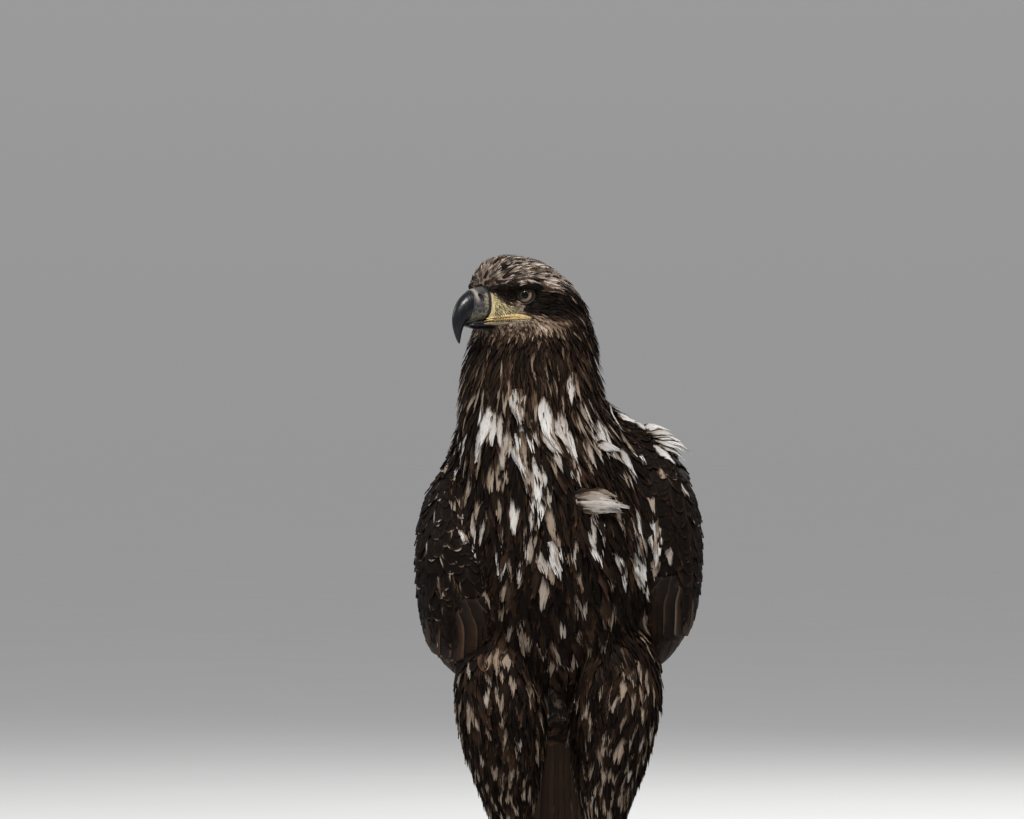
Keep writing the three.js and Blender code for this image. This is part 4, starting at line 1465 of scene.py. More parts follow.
horn = cut_bill(bill_body(UPPER_BILL, 48, 72), True)
cere = cut_bill(bill_body(UPPER_BILL, 96, 150, shape=cere_form), False)
bill_piece = finished(in_head(horn), "upper_bill", "horn", "bill_upper")
cere_piece = finished(in_head(cere), "soft_cere", "cere", "cere")
lower_piece = finished(in_head(bill_body(LOWER_BILL, 40, 36, 0.1)), "lower_bill", "horn", "bill_lower")
print("bill:", len(bill_piece.data.polygons), "faces; cere:", len(cere_piece.data.polygons))

# %% [markdown]
# ## The eyes and their lids
# Each eye looks out to the side and a little forward. It is a ball whose middle bulges into
# a clear dome; the iris, the pupil and the dark rim are painted by the angle from its axis,
# which is kept in a UV map. The lids are rings of skin that hug the ball, with a rolled rim,
# and the upper one cuts straight across, which gives the bird its stern look.

# %% The eyes
def eye_place(sign, away, round_, radius):
    axis, level, up, middle = eye_axes(sign)
    ring = np.cos(round_)[..., None] * level + np.sin(round_)[..., None] * up
    return middle + radius[..., None] * (np.cos(away)[..., None] * axis + np.sin(away)[..., None] * ring)


eyes = {}
for side, sign in SIDES.items():

    def ball(share, angle, _):
        away = share * np.pi
        dome = 0.8 * step(IRIS * 1.05, 0, away)
        return eye_place(sign, away, angle, EYE["radius"] + dome)

    bm = pod(64, 64, ball)
    gaze = bm.loops.layers.uv.new("gaze")
    axis, level, up, middle = eye_axes(sign)
    for face in bm.faces:
        for loop in face.loops:
            way = unit(np.array(loop.vert.co[:]) - middle)
            away = math.acos(max(-1, min(1, float(way @ axis)))) / math.pi
            turn = math.atan2(way @ up, way @ level)
            loop[gaze].uv = (0.5 + 0.5 * away * math.cos(turn), 0.5 + 0.5 * away * math.sin(turn))
    eyes[side] = finished(in_head(bm), f"{side}_eyeball", "eye", f"eye_{side}")

# %% The lids
LID_WIDE = math.radians(34)  # from the rim of a lid to where it runs into the skin
lids = {}
for side, sign in SIDES.items():
    grid = flat_grid(128, 18)
    x, y = np.array([v.co[:2] for v in grid.verts]).T
    round_ = (x + 1) * np.pi
    share = (y + 1) / 2
    away = lid_opening(round_, sign) + LID_WIDE * share**1.3
    rim = 0.50 * np.exp(-(((share - 0.10) / 0.09) ** 2))
    folds = 0.16 * np.sin(share * 26 + 1.2 * np.sin(3 * round_)) * step(0.2, 0.4, share)
    radius = EYE["radius"] + 0.95 + rim + folds - 0.8 * step(0.10, 0.0, share) - 0.7 * step(0.7, 1.0, share)
    for v, point in zip(grid.verts, from_head(eye_place(sign, away, round_, radius))):
        v.co = point
    bmesh.ops.remove_doubles(grid, verts=grid.verts, dist=1e-4)
    lids[side] = finished(grid, f"{side}_eyelids", "cere")
print("eyes and lids made")

# %% [markdown]
# ## Feet and claws
# The bare feet are taken from their solids. A fine voxel remesh of each makes one smooth
# skin, and then the big scales, the scutes, are cut into the top of the toes and the front
# of the shank by a formula along each limb. The claws are round bodies bent along an arch.

# %% The feet
STANCE, LEG_BACK, FOOT_TURN, ANKLE = 47.0, 14.0, 9.0, 16.0
TOES = {  # turn from straight ahead, reach, thickness, length of the claw
    "inner": (-32, 54, 9.5, 34),
    "middle": (2, 70, 9, 32),
    "outer": (42, 58, 8.5, 28),
    "hind": (176, 40, 10, 38),
}
FOOT_VOXEL = 0.95
SCUTE = 5.2  # from one big scale to the next


def heel_of(sign):
    return np.array([sign * STANCE, LEG_BACK, 0.0])


def wave(along, length):
    """0 in the middle of each scale and 1 at its edges."""
    return np.abs(((along / length) % 1) - 0.5) * 2


def toe_way(sign, turn):
    turn = math.radians(turn + FOOT_TURN)
    return np.array([sign * math.sin(turn), -math.cos(turn), 0.0])


feet = {}
for side, sign in SIDES.items():
    points, faces = fused([f"foot_{side}"], FOOT_VOXEL, 0.0)
    edges = edges_of(faces)
    points = spread_out(points, edges, 5)
    heel = heel_of(sign)
    at_ankle = np.exp(-((np.linalg.norm(points - heel - [0, 0, ANKLE], axis=1, keepdims=True) / 17) ** 2))
    points = lerp(points, spread_out(points, edges, 60), at_ankle)
    away = points - heel
    best = np.full(len(points), 1e9)
    groove = np.zeros(len(points))
    for turn, long, thick, _ in TOES.values():
        way = toe_way(sign, turn)
        along = away @ way
        off = np.abs(away[:, :2] @ np.array([way[1], -way[0]]))
        on_toe = (along > 6) & (off < thick + 2) & (points[:, 2] < 30)
        nearer = on_toe & (off < best)
        best = np.where(nearer, off, best)
        groove = np.where(nearer, step(0.72, 1.0, wave(along, SCUTE)), groove)
    shank = points[:, 2] > 24
    ring = step(0.75, 1.0, wave(points[:, 2], SCUTE * 1.15))
    groove = np.where(shank, ring * step(2, -3, away[:, 1]), groove)
    normal = normals_of(points, faces)
    top = np.where(shank, 1.0, step(0.05, 0.45, normal[:, 2]))
    plate = 0.5 * (1 - groove) * top - 0.35 * groove * top
    points = points + normal * plate[:, None]
    points[:, 2] = np.maximum(points[:, 2], 0.0)
    mesh = mesh_of(f"{side}_scaly_foot", points, faces)
    for name, share in (("groove", groove * top), ("scute", (1 - groove) * top)):
        note(mesh, name, "FLOAT", share)
    feet[side] = piece_of(f"{side}_scaly_foot", mesh)
    join_bird(feet[side], "foot", f"foot_{side}")
    print(side, "foot:", len(faces) * 2, "triangles")

# %% The claws
CLAW_RADIUS, CLAW_TIP, CLAW_SUNK, CLAW_LIFT, CLAW_CURL = 5.2, 0.7, 5.0, 0.4, 0.62
PAD_PRESSED = 2.2


def bent(path, places):
    """Places along a smooth curve through a few points."""
    rows = [(i, *point) for i, point in enumerate(path)]
    table = curves(rows, "x y z")
    return np.stack([table[axis](places * (len(path) - 1)) for axis in "xyz"], -1)


def limb(path, radius, around=20, rings=28, cap=0.1, tall=1.0):
    """A tapering round body along a path; radius(share) gives its thickness."""

    def place(share, angle, out):
        middle = bent(path, share)
        way = unit(bent(path, np.clip(share + 0.01, 0, 1)) - bent(path, np.clip(share - 0.01, 0, 1)))
        level = unit(np.cross(way, np.tile([0.0, 0.0, 1.0], (len(way), 1))))
        rise = np.cross(level, way)
        thick = (radius(share) * out)[:, None]
        return middle + level * np.cos(angle)[:, None] * thick + rise * np.sin(angle)[:, None] * thick * tall

    return pod(around, rings, place, cap)


claws = []
for side, sign in SIDES.items():
    for toe, (turn, long, thick, claw) in TOES.items():
        way = toe_way(sign, turn)
        heel = heel_of(sign)
        height = thick - PAD_PRESSED
        reach = claw * CLAW_CURL

        def at_toe(far, up):
            return heel + way * far + np.array([0, 0, up])

        path = [
            at_toe(long - CLAW_SUNK, height + 1),
            at_toe(long + reach * 0.4, height + 4.5),
            at_toe(long + reach * 0.85, height - 1),
            at_toe(long + reach, CLAW_LIFT + CLAW_TIP),
        ]
        body = limb(path, lambda s: lerp(CLAW_RADIUS, CLAW_TIP, s**0.9))
        claws.append(finished(body, f"{side}_{toe}_talon", "horn", f"claw_{side}_{toe}"))
print("claws:", len(claws))

# %% [markdown]
# ## The face's bare skin and the mouth's yellow edge
# The skin's mesh is fine enough for the body but not for a face. So the faces near the eyes
# are cut twice, smoothed, and moved by the formulas of the brow and the socket. The soft
# yellow edge of the mouth is a double roll that lies on that skin, from the bill to below
# the middle of the eye, with a shorter one under it on the lower jaw.

# %% Refine the skin of the face
fine = bmesh.new()
fine.from_mesh(skin_piece.data)


def on_face(verts):
    """Which of these corners are on the sides of the face."""
    f, l, u = to_head(to_drawing([v.co for v in verts])).T
    return (f > -24) & (f < 46) & (np.abs(l) > 5) & (u > -36) & (u < 16)


for _ in range(2):
    verts = list(fine.verts)
    near = set(np.flatnonzero(on_face(verts)).tolist())
    chosen = [e for e in fine.edges if e.verts[0].index in near and e.verts[1].index in near]
    bmesh.ops.subdivide_edges(fine, edges=chosen, cuts=1, use_grid_fill=True)
    fine.verts.index_update()
many_sided = [face for face in fine.faces if len(face.verts) > 4]
bmesh.ops.triangulate(fine, faces=many_sided)
verts = list(fine.verts)
near = [verts[i] for i in np.flatnonzero(on_face(verts))]
for _ in range(6):
    bmesh.ops.smooth_vert(fine, verts=near, factor=0.5, use_axis_x=True, use_axis_y=True, use_axis_z=True)
places = to_drawing([v.co for v in verts])
for v, place in zip(verts, to_frame(face_form(round_eye(places, True)))):
    v.co = place
fine.to_mesh(skin_piece.data)
fine.free()
skin_points = points_of(skin_piece.data)
corners = [tuple(face.vertices) for face in skin_piece.data.polygons]
face_tree = BVHTree.FromPolygons(skin_points.tolist(), corners)
print("skin:", sum(len(c) - 2 for c in corners), "triangles")


# %% The yellow edge of the mouth
def on_cheek(f, u, sign, out):
    """A place on the skin of one side of the face, in the head's frame."""
    start = from_head(np.array([f, sign * 80.0, u]))
    way = from_head(np.array([f, 0.0, u])) - start
    hit = face_tree.ray_cast(Vector(start), Vector(way).normalized())[0]
    far = abs(to_head(np.array(hit))[1]) if hit else 0.0
    return max(far, 12.0 - 0.5 * max(f - 36, 0)) + out


GAPE = {  # rolls: from, to, height in front, arch, rise at the back, thickness, proud
    "upper_gape": (37, -3, -23.4, 2.8, 1.2, 1.75, -0.1),
    "gape_edge": (39, -1, -25.6, 1.6, 2.6, 1.3, 0.0),
    "lower_gape": (40.5, 15, -28.6, 0.4, 1.4, 2.1, -0.3),
}
gape_pieces = []


def roll_thick(share):
    """The share of a roll's thickness: thin in front, full behind, rounded at both ends."""
    return np.sin(np.pi * np.clip(share, 0.06, 0.94)) ** 0.4 * lerp(0.5, 1, step(0, 0.6, share))


for side, sign in SIDES.items():
    for name, (begin, finish, height, arch, rise, thick, proud) in GAPE.items():
        path = []
        for share in np.linspace(0, 1, 12):
            f = lerp(begin, finish, share)
            u = height + arch * math.sin(math.pi * share) + rise * share
            path.append([f, sign * on_cheek(f, u, sign, proud), u])
        path = np.array(path)
        path[1:-1, 1] = (path[:-2, 1] + 2 * path[1:-1, 1] + path[2:, 1]) / 4
        roll = limb(path, lambda s: thick * roll_thick(s), 20, 60, 0.04, 1.1)
        gape_pieces.append(finished(in_head(roll), f"{side}_{name}", "cere"))
print("gape:", len(gape_pieces), "rolls")

# %% [markdown]
# ## Words for building materials
# A material is a small machine of nodes. These helpers name the nodes that are used again
# and again, so that each material below reads as a recipe. The shader itself is always made
# in the material, and only colours, masks and heights come from groups.


# %% Words for nodes
class Signal:
    """A node's output that is added, multiplied and so on like a number."""

    def __init__(self, nodes, socket):
        self.nodes, self.socket = nodes, socket


def teach(sign, operation):
    """Gives a signal an arithmetic sign, with a number on either side of it."""
    setattr(Signal, f"__{sign}__", lambda self, other: self.nodes.math(operation, self, other))
    setattr(Signal, f"__r{sign}__", lambda self, other: self.nodes.math(operation, other, self))


for sign, operation in (("add", "ADD"), ("sub", "SUBTRACT"), ("mul", "MULTIPLY"), ("truediv", "DIVIDE")):
    teach(sign, operation)


class Signals:
    """The outputs of a node, by name or by number."""

    def __init__(self, nodes, node):
        self.nodes, self.node = nodes, node

    def __getitem__(self, key):
        return Signal(self.nodes, self.node.outputs[key])


class Nodes:
    """Adds nodes to a tree and joins them up."""

    def __init__(self, tree):
        self.tree = tree

    def add(self, kind, inputs=(), **settings):
        node = self.tree.nodes.new(kind)
        for name, value in settings.items():
            setattr(node, name, value)
        for key, value in dict(inputs).items():
            self.feed(node.inputs[key], value)
        return node

    def read(self, kind, inputs=(), **settings):
        return Signals(self, self.add(kind, inputs, **settings))

    def feed(self, socket, value):
        if isinstance(value, Signal):
            self.tree.links.new(value.socket, socket)
        elif isinstance(value, tuple) and len(value) == 3 and socket.type == "RGBA":
            socket.default_value = (*value, 1)
        else:
            socket.default_value = value

    def show(self, name, value):
        """Sets an input of the material's own shader."""
        self.feed(self.tree.nodes["Principled BSDF"].inputs[name], value)

    def math(self, operation, *values):
        return self.read("ShaderNodeMath", enumerate(values), operation=operation)[0]

    def mix(self, share, first, second, blend="MIX"):
        inputs = {0: share, 6: first, 7: second}
        node = self.add("ShaderNodeMix", data_type="RGBA", blend_type=blend)
        for key, value in inputs.items():
            self.feed(node.inputs[key], value)
        return Signals(self, node)[2]

    def step(self, low, high, value):
        inputs = {0: value, 1: low, 2: high, 3: 0.0, 4: 1.0}
        return self.read("ShaderNodeMapRange", inputs, interpolation_type="SMOOTHSTEP")[0]

    def ramp(self, value, stops):
        node = self.add("ShaderNodeValToRGB", {0: value})
        while len(node.color_ramp.elements) < len(stops):
            node.color_ramp.elements.new(0.5)
        for element, (place, colour) in zip(node.color_ramp.elements, stops):
            element.position, element.color = place, (*colour, 1)
        return Signals(self, node)[0]

    def noise(self, vector, scale, detail=3.0):
        inputs = {"Vector": vector, "Scale": scale, "Detail": detail}
        return self.read("ShaderNodeTexNoise", inputs)["Fac"]

    def parts(self, vector):
        return self.read("ShaderNodeSeparateXYZ", {0: vector})

    def vector(self, x=0.0, y=0.0, z=0.0):
        return self.read("ShaderNodeCombineXYZ", {0: x, 1: y, 2: z})[0]

    def attribute(self, name):
        return self.read("ShaderNodeAttribute", attribute_name=name)

    def object_place(self):
        return self.read("ShaderNodeTexCoord")["Object"]

    def head_place(self):
        """The place in the head's own frame, in millimetres."""
        node = self.add("ShaderNodeMapping", {0: self.object_place()}, vector_type="TEXTURE")
        node.inputs["Location"].default_value = to_frame(HEAD_AT)
        node.inputs["Rotation"].default_value = (0, 0, HEAD_TURN)
        node.inputs["Scale"].default_value = (MM, MM, MM)
        return Signals(self, node)[0]

    def head_frame(self):
        """The place in the head's frame, and its forward, left and upward parts."""
        place = self.head_place()
        return place, *self.parts(place)

    def bump(self, height, strength, distance):
        inputs = {"Height": height, "Strength": strength, "Distance": distance}
        return self.read("ShaderNodeBump", inputs)[0]

    def group(self, group, **inputs):
        node = self.add("ShaderNodeGroup", node_tree=group)
        for key, value in inputs.items():
            self.feed(node.inputs[key], value)
        return Signals(self, node)


def dress(stuff, *pieces):
    for piece in pieces:
        piece.data.materials.append(stuff)


def material(name, **constants):
    """A new material and its nodes, with these constants on its Principled shader."""
    made = bpy.data.materials.new(name)
    made.use_nodes = True
    nodes = Nodes(made.node_tree)
    for key, value in constants.items():
        nodes.show(key.replace("_", " "), value)
    return made, nodes


def new_group(name, inputs, outputs):
    group = bpy.data.node_groups.new(name, "ShaderNodeTree")
    for label, kind, value in inputs:
        socket = group.interface.new_socket(label, in_out="INPUT", socket_type=f"NodeSocket{kind}")
        if value is not None:
            socket.default_value = value
    for label, kind in outputs:
        group.interface.new_socket(label, in_out="OUTPUT", socket_type=f"NodeSocket{kind}")
    nodes = Nodes(group)
    return group, nodes, nodes.read("NodeGroupInput"), nodes.add("NodeGroupOutput").inputs


# %% [markdown]
# ## Barbs and feather colours
# Barbs leave the shaft at a slant and run to the edge of the vane, so their pattern is a
# stripe across the slanted coordinate, broken up by noise. The colour group paints one
# feather from its marks: the ground, a warm tint, a white drop that widens towards the tip
# and carries grey streaks of painted shade between its barbs, or on the crown a dark streak
# in its place, a pale edge, and a root that is dusky with down and darker still as painted
# shade where the feathers overlap.

# %% Groups for barbs and for feather colour
barbs, n, given, result = new_group(
    "barbs",
    [("Vane", "Vector", None), ("Seed", "Float", 0.0), ("Rows", "Float", 40.0), ("Slant", "Float", 0.5)],
    [("Shade", "Float"), ("Height", "Float")],
)
u, v, _ = n.parts(given["Vane"])
aside = n.math("ABSOLUTE", u - 0.5)
slanted = v - aside * given["Slant"]
lines_at = n.vector(slanted * given["Rows"], given["Seed"] * 90.0, aside)
fine = n.noise(lines_at, 1.0, 4.0)
coarse = n.noise(lines_at, 0.35, 1.0)
n.feed(result["Shade"], fine * 0.6 + coarse * 0.4)
n.feed(result["Height"], fine)

feather_colour, n, given, result = new_group(
    "feather_colour",
    [("Vane", "Vector", None), ("Marks", "Color", None), ("White", "Float", 0.0), ("Seed", "Float", 0.0)],
    [("Colour", "Color")],
)
DARK_BROWN, BROWN = (0.0045, 0.0033, 0.0028), (0.027, 0.0155, 0.0098)
BUFF, CREAM = (0.16, 0.112, 0.078), (0.46, 0.385, 0.33)
GROUND = [(0.0, DARK_BROWN), (0.33, BROWN), (0.66, BUFF), (1.0, CREAM)]
CINNAMON, WHITE, STRAW = (0.085, 0.045, 0.025), (0.44, 0.43, 0.42), (0.20, 0.157, 0.12)
# The root colour is dusky down darkened by painted shade, and the grey is painted shade between the barbs of
# white drops.
BARB_SHADE_GREY, STREAK, DUSKY_ROOT_AND_SHADE = (0.13, 0.12, 0.115), (0.022, 0.016, 0.013), (0.009, 0.007, 0.006)
u, v, _ = n.parts(given["Vane"])
tone_in, warm_in, edge_in = n.read("ShaderNodeSeparateColor", {0: given["Marks"]})
aside = n.math("ABSOLUTE", u - 0.5) * 2.0
wobble = n.noise(n.vector(u * 3.0, v * 5.0, given["Seed"] * 50.0), 1.6) - 0.5
outward = n.math("MAXIMUM", aside, v * 4.0 - 3.0)
rim = n.step(0.25, 1.0, outward + wobble * 0.5)
toned = tone_in + (rim * (0.12 + tone_in * 0.5) - 0.08)
ground = n.ramp(toned, GROUND)
tinted = n.mix(warm_in * rim, ground, CINNAMON)
chance = n.math("FRACT", given["Seed"] * 7.3)
shift = (n.math("FRACT", given["Seed"] * 3.7) - 0.5) * 0.3
beside = n.math("ABSOLUTE", u - (shift + 0.5)) * 2.0
dark_tip = n.step(0.86, 0.96, v + wobble * 0.1) * n.step(0.45, 0.25, chance)
bold = n.math("MAXIMUM", given["White"], 0.0)
widest = n.step(0.15, 0.62, v + bold * 0.25) * (1.0 - dark_tip * 1.3)
reach = n.math("ABSOLUTE", given["White"]) * (widest * 1.25)
inside = reach - (beside + wobble * 0.9)
fray = n.noise(n.vector(u * 26.0, v * 3.5, given["Seed"] * 70.0), 1.0) - 0.5
inside = inside + fray * 0.9
drop = n.step(-0.22, 0.34, inside)
is_white = n.math("GREATER_THAN", given["White"], 0.0)
is_streak = n.math("LESS_THAN", given["White"], 0.0)
fringe = 0.93 - edge_in * 0.22
edge = n.step(fringe, 1.0, outward + wobble * 0.12)
edge_colour = n.mix(n.step(0.6, 1.0, edge_in), BUFF, CREAM)
edged = n.mix(edge * edge_in * 0.85, tinted, edge_colour)
halo = n.step(-0.35, 0.02, inside) * is_white * 0.7
haloed = n.mix(halo, edged, BUFF)
strength = given["White"] + (chance - 0.5) * 0.4
white = n.mix(n.step(0.40, 1.05, strength), STRAW, WHITE)
white = n.mix(n.step(0.04, 0.36, wobble) * 0.7, white, BUFF)
# Grey streaks along the barbs of a white drop are painted shade between the barbs.
white = n.mix(n.step(-0.02, 0.22, fray) * 0.6, white, BARB_SHADE_GREY)
dropped = n.mix(drop * is_white, haloed, white)
streaked = n.mix(drop * is_streak * 0.92, dropped, STREAK)
# The root is dusky with down, and darker still as painted shade under the overlapping feathers.
rooted_and_shaded = n.mix(n.step(0.6, 0.1, v) * (0.7 - bold * 0.5), streaked, DUSKY_ROOT_AND_SHADE)
n.feed(result["Colour"], rooted_and_shaded)


# %% Materials of the feathers
def feather_material(name, rows, slant, rough, gloss, bump_depth):
    made, n = material(name, Roughness=rough, Specular_IOR_Level=gloss)
    vane = n.read("ShaderNodeUVMap", uv_map="vane")[0]
    marks = n.attribute("marks")
    seed = n.attribute("seed")["Fac"]
    split = n.read("ShaderNodeSeparateColor", {0: marks["Color"]})
    rest = n.read("ShaderNodeCombineColor", {0: split[1], 1: split[2], 2: marks["Alpha"]})[0]
    colour = n.group(feather_colour, Vane=vane, Marks=rest, White=split[0], Seed=seed)
    stripes = n.group(barbs, Vane=vane, Seed=seed, Rows=rows, Slant=slant)
    shade = 0.55 + stripes["Shade"] * 0.9
    cloud = n.noise(n.object_place(), 26.0, 3.0)
    shade = shade * (0.78 + cloud * 0.44)
    painted = n.mix(1.0, colour["Colour"], n.vector(shade, shade, shade), "MULTIPLY")
    n.show("Base Color", painted)
    roughness = rough - 0.1 + stripes["Shade"] * 0.25
    n.show("Roughness", roughness)
    n.show("Normal", n.bump(stripes["Height"], bump_depth, 0.0006))
    return made


soft = feather_material("soft_feather", 46.0, 0.9, 0.68, 0.03, 0.6)
firm = feather_material("firm_feather", 60.0, 0.5, 0.55, 0.025, 0.5)
quill = feather_material("quill_feather", 90.0, 0.35, 0.55, 0.03, 1.0)
for name, piece in feather_pieces.items():
    dress(firm if "wing" in name else soft, piece)
    join_bird(piece, "plumage")
for side, piece in wing_quills.items():
    dress(quill, piece)
    join_bird(piece, "flight_feathers", f"wing_{side}_secondaries", f"wing_{side}_primaries")
dress(quill, tail_piece)
join_bird(tail_piece, "flight_feathers", "tail")

# %% [markdown]
# ## Skin, cere and lores
# Between the feathers the skin is dusky, in the ground colours of the coat. In front of the
# eye and along the mouth it is bare and yellow. These bounds are drawn in the head's own
# frame, in millimetres, so they stay put whatever the camera does.

# %% The skin
tone_there, warm_there, _, edging_there, _ = markings(skin_points)
skin_marks = np.stack([bare_share(skin_points, soft=4.5), tone_there, warm_there, edging_there], -1)
note(skin_piece.data, "marks", "FLOAT_COLOR", skin_marks)

skin_stuff, n = material("skin", Roughness=0.6, Specular_IOR_Level=0.3)
marks = n.read("ShaderNodeSeparateColor", {0: n.attribute("marks")["Color"]})
place, f, l, u = n.head_frame()
ground = n.ramp(marks[1], GROUND)
ground = n.mix(0.45, ground, (0.02, 0.016, 0.014))
wrinkle = n.noise(place, 0.5, 4.0)
YELLOW, GREENISH, GREY_SKIN = (0.46, 0.385, 0.20), (0.20, 0.18, 0.10), (0.34, 0.29, 0.19)
CREASE_SHADE, SHADED, SKIN_BLACK = (0.09, 0.078, 0.045), (0.10, 0.085, 0.055), (0.02, 0.017, 0.012)
lore_colour = n.mix(n.step(26.0, 10.0, f), YELLOW, GREY_SKIN)
lore_colour = n.mix(n.step(0.42, 0.72, wrinkle) * 0.6, lore_colour, GREENISH)
creases = n.noise(n.vector(f, l * 0.5, u * 0.13), 1.0, 3.0)
# The creases of the bare skin are darkened as painted shade in its folds; the same noise also bumps them.
lore_colour = n.mix(n.step(0.42, 0.66, creases) * 0.55, lore_colour, CREASE_SHADE)
shaded = n.step(-8.0, 3.0, u) * n.step(37.5, 30.0, f) * 0.4 + n.step(0.9, 0.1, marks[0]) * 0.5
lore_colour = n.mix(shaded, lore_colour, SHADED)
before_bill = n.step(37.2, 38.2, f) * n.step(10.0, 6.0, u)
lore_colour = n.mix(before_bill, lore_colour, SKIN_BLACK)
n.show("Base Color", n.mix(marks[0], ground, lore_colour))
n.show("Normal", n.bump(creases + n.noise(place, 1.4, 4.0), 0.6, 0.0008))
dress(skin_stuff, skin_piece)
join_bird(skin_piece, "plumage", *FLESH, "wing_left_coverts", "wing_right_coverts")

# %% Cere and lids
cere_stuff, n = material("cere", Roughness=0.5, Specular_IOR_Level=0.2)
place, f, l, u = n.head_frame()
blotch = n.noise(place, 0.22, 4.0)
CERE_GREY, CERE_YELLOW, CERE_DARK = (0.050, 0.047, 0.045), (0.185, 0.158, 0.115), (0.012, 0.012, 0.013)
mottle = n.noise(place, 0.35, 4.0) - 0.5
rear = n.step(39.8, 38.0, f + mottle * 10.0)
lower = n.step(-15.0, -21.0, u + mottle * 12.0)
yellow = n.math("MAXIMUM", rear * n.step(4.0, 0.0, u), lower * 0.6) * n.step(0.26, -0.2, mottle)
colour = n.mix(n.step(-0.15, 0.25, mottle), CERE_GREY, CERE_DARK)
colour = n.mix(yellow, colour, CERE_YELLOW)
front = n.step(44.0, 46.0, f + mottle * 8.0) * n.step(-9.0, -2.0, u)
front = front * n.step(49.3, 48.0, f)
colour = n.mix(front * 0.65, colour, (0.24, 0.22, 0.2))
colour = n.mix(n.step(36.1, 35.3, f), colour, CERE_DARK)
hole_f = (f - NOSTRIL["forward"] - 0.35 * (u - NOSTRIL["up"])) / NOSTRIL["long"]
hole_u = (u - NOSTRIL["up"]) / NOSTRIL["tall"]
hole = hole_f * hole_f + hole_u * hole_u
# The nostril is painted near black: painted shade inside its hollow.
colour = n.mix(n.step(1.3, 0.7, hole), colour, (0.008, 0.006, 0.005))
n.show("Base Color", colour)
n.show("Roughness", 0.42 + blotch * 0.2)
n.show("Normal", n.bump(n.noise(place, 1.0, 5.0), 0.5, 0.0006))
dress(cere_stuff, cere_piece)

lid_stuff, n = material("eyelid", Roughness=0.6, Specular_IOR_Level=0.15)
place, f, l, u = n.head_frame()
wrinkle = n.noise(place, 1.1, 4.0)
before, under = f - 6.5, u - 0.4
out = n.math("SQRT", before * before + under * under)
folds = n.step(-0.2, 0.7, n.math("SINE", out * 2.9))
below = n.step(-4.5, -7.0, u) * n.step(-1.0, 2.0, before)
LID_BLACK, LID_BROWN, LID_PALE = (0.006, 0.005, 0.004), (0.02, 0.017, 0.014), (0.16, 0.135, 0.09)
lid_colour = n.mix(below * folds * 0.75, n.ramp(wrinkle, [(0.3, LID_BLACK), (0.75, LID_BROWN)]), LID_PALE)
n.show("Base Color", lid_colour)
n.show("Normal", n.bump(wrinkle, 0.5, 0.0006))
dress(lid_stuff, *lids.values())

gape_stuff, n = material("gape", Roughness=0.38, Specular_IOR_Level=0.4)
place, f, l, u = n.head_frame()
blotch = n.noise(place, 0.5, 4.0)
GAPE_YELLOW, GAPE_OCHRE, GAPE_OLIVE = (0.50, 0.37, 0.155), (0.38, 0.275, 0.115), (0.14, 0.105, 0.055)
colour = n.ramp(blotch, [(0.35, GAPE_YELLOW), (0.75, GAPE_OCHRE)])
under = n.step(-24.8, -25.8, u + (blotch - 0.5) * 2.0)
under = n.math("MAXIMUM", under, n.step(29.0, 35.0, f) * n.step(-24.2, -25.2, u))
colour = n.mix(under, colour, GAPE_OLIVE)
colour = n.mix(n.step(37.0, 42.0, f) * 0.8, colour, (0.1, 0.085, 0.05))
n.show("Base Color", colour)
n.show("Roughness", 0.3 + blotch * 0.2)
n.show("Normal", n.bump(n.noise(place, 1.6, 4.0), 0.35, 0.0006))
dress(gape_stuff, *gape_pieces)

# %% Horn of bill and claws
horn_stuff, n = material("horn", Roughness=0.3, Specular_IOR_Level=0.22)
place, f, l, u = n.head_frame()
growth = n.noise(n.vector(f * 0.5, l * 0.05, u * 0.16), 1.0, 4.0)
HORN_DARK, HORN_SLATE, HORN_PALE = (0.0018, 0.0019, 0.0026), (0.0045, 0.0055, 0.009), (0.05, 0.045, 0.035)
slate = n.ramp(growth, [(0.3, HORN_DARK), (0.7, HORN_SLATE)])
to_cere = n.step(58.0, 50.0, f) * n.step(-12.0, -24.0, u) * n.step(-27.5, -26.5, u)
colour = n.mix(to_cere * 0.6, slate, HORN_PALE)
n.show("Base Color", colour)
n.show("Roughness", 0.2 + growth * 0.25)
n.show("Normal", n.bump(growth, 0.35, 0.0006))
dress(horn_stuff, bill_piece, lower_piece)

claw_stuff, n = material("claw", Roughness=0.28, Specular_IOR_Level=0.5)
place = n.object_place()
grain = n.noise(place, 300.0, 4.0)
CLAW_BLACK, CLAW_BROWN = (0.008, 0.007, 0.007), (0.035, 0.03, 0.027)
n.show("Base Color", n.ramp(grain, [(0.3, CLAW_BLACK), (0.75, CLAW_BROWN)]))
n.show("Roughness", 0.2 + grain * 0.25)
n.show("Normal", n.bump(grain, 0.2, 0.0004))
dress(claw_stuff, *claws)

# %% The eyes
CLEAR_DOME = {"Coat_Weight": 0.4, "Coat_Roughness": 0.02, "Coat_IOR": 1.3}
eye_stuff, n = material("eye", Roughness=0.4, Specular_IOR_Level=0.0, **CLEAR_DOME)
gaze = n.read("ShaderNodeUVMap", uv_map="gaze")[0]
x, y, _ = n.parts(gaze)
dx, dy = x - 0.5, y - 0.5
away = n.math("SQRT", dx * dx + dy * dy) * 360.0
spokes = n.noise(n.vector(n.math("ARCTAN2", dy, dx) * 9.0, away * 0.06, 0.0), 1.0, 3.0)
IRIS_BROWN, IRIS_STRAW, IRIS_EDGE = (0.085, 0.064, 0.044), (0.20, 0.158, 0.116), (0.045, 0.033, 0.022)
iris = n.ramp(spokes, [(0.3, IRIS_BROWN), (0.7, IRIS_STRAW)])
_, f, l, u = n.head_frame()
in_shade = n.step(1.2, 5.4, f + u)  # under the brow and towards the bill
iris = n.mix(in_shade * 0.97, iris, (0.006, 0.005, 0.004))
iris = n.mix(n.step(30.0, 42.0, away), iris, IRIS_EDGE)
iris = n.mix(n.step(24.0, 19.0, away), iris, IRIS_EDGE)
pupil = n.step(18.0, 19.5, away)
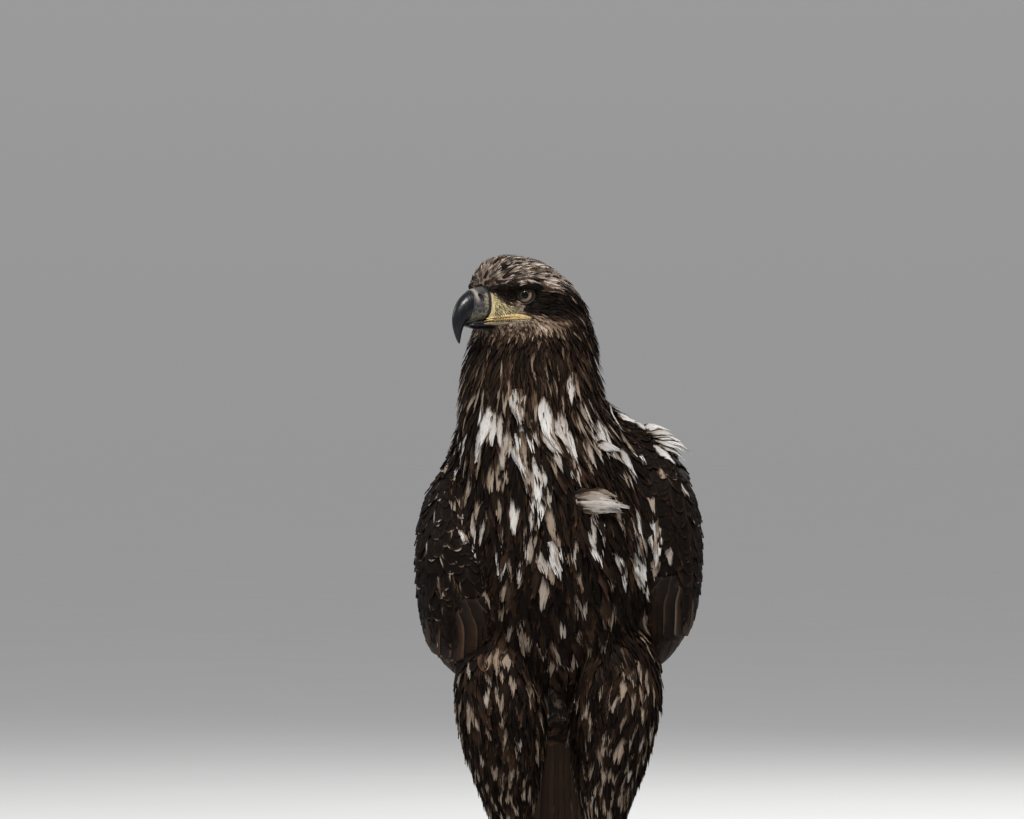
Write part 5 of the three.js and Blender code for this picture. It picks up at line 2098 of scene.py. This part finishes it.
colour = n.mix(pupil, (0.002, 0.002, 0.002), iris)
colour = n.mix(n.step(41.0, 43.5, away), colour, (0.010, 0.009, 0.008))
n.show("Base Color", colour)
dress(eye_stuff, *eyes.values())

# %% The feet
foot_stuff, n = material("foot_skin", Roughness=0.45, Specular_IOR_Level=0.4)
place = n.object_place()
small_scales = {"Vector": place, "Scale": 330.0}
cells = n.read("ShaderNodeTexVoronoi", small_scales, feature="DISTANCE_TO_EDGE")["Distance"]
between = n.step(0.1, 0.0, cells) * (1.0 - n.attribute("scute")["Fac"])
groove = n.attribute("groove")["Fac"]
stain = n.noise(place, 60.0, 4.0)
colour = n.ramp(stain, [(0.25, (0.36, 0.23, 0.055)), (0.7, (0.60, 0.43, 0.12))])
colour = n.mix(between * 0.6, colour, (0.14, 0.09, 0.03))
colour = n.mix(groove * 0.8, colour, (0.11, 0.065, 0.02))
n.show("Base Color", colour)
n.show("Roughness", 0.36 + stain * 0.2)
n.show("Normal", n.bump(1.0 - between, 0.6, 0.0008))
dress(foot_stuff, *feet.values())

# %% [markdown]
# ## Floor, light and camera
# The bird stands on a plain pale floor under four soft lamps. The camera is level and far
# away with a long lens, as such a bird is seen, so that the shapes aren't stretched.

# %% Stage
FLOOR_REACH = 60.0
stage = bmesh.new()
bmesh.ops.create_circle(stage, cap_ends=True, segments=96, radius=FLOOR_REACH)
floor = piece_of("floor", mesh_from(stage, "floor"))
PALE = (0.56, 0.56, 0.56)
floor_stuff, n = material("pale_floor", Roughness=0.9, Specular_IOR_Level=0.1)
tint = n.noise(n.object_place(), 3.0, 2.0)
n.show("Base Color", n.ramp(tint, [(0.3, PALE), (0.7, tuple(c * 1.02 for c in PALE))]))
dress(floor_stuff, floor)

world = bpy.data.worlds.new("studio")
bpy.context.scene.world = world
world.use_nodes = True
sky = Nodes(world.node_tree)
way_up = sky.parts(sky.read("ShaderNodeTexCoord")["Generated"])[2]
shade = sky.ramp(sky.step(-0.02, 0.35, way_up), [(0.0, (0.491, 0.4905, 0.494)), (1.0, (0.86, 0.86, 0.87))])
sky.feed(world.node_tree.nodes["Background"].inputs["Color"], shade)
world.node_tree.nodes["Background"].inputs["Strength"].default_value = 0.62

AIM = Vector((-0.048, -0.17, 0.5195))
CAMERA_AWAY, LENS = 8.0, 281.0
camera = piece_of("camera", bpy.data.cameras.new("camera"))
camera.data.lens = LENS
camera.data.sensor_width = 36.0
camera.data.clip_end = 200.0
camera.location = AIM + Vector((0, -CAMERA_AWAY, 0))
camera.rotation_euler = (math.pi / 2, 0, 0)
bpy.context.scene.camera = camera


def lamp(name, place, size, power, colour=(1, 1, 1)):
    light = bpy.data.lights.new(name, "AREA")
    light.size, light.energy, light.color = size, power, colour
    lit = piece_of(name, light)
    lit.location = place
    aim = Vector((0, 0, 0.4)) - Vector(place)
    lit.rotation_euler = aim.to_track_quat("-Z", "Y").to_euler()


lamp("key", (0.1, -2.5, 3.3), 0.6, 205, (1.0, 0.96, 0.91))
lamp("fill", (-3.0, -2.6, 1.6), 4.0, 14, (0.93, 0.96, 1.0))
lamp("rim", (1.4, 2.4, 2.4), 1.2, 60)
lamp("edge", (-2.6, 0.5, 1.7), 1.0, 26, (0.90, 0.95, 1.0))
bpy.context.scene.view_settings.view_transform = "Standard"
print("camera at", [round(c, 3) for c in camera.location])

# %% Finish
bpy.context.view_layer.update()
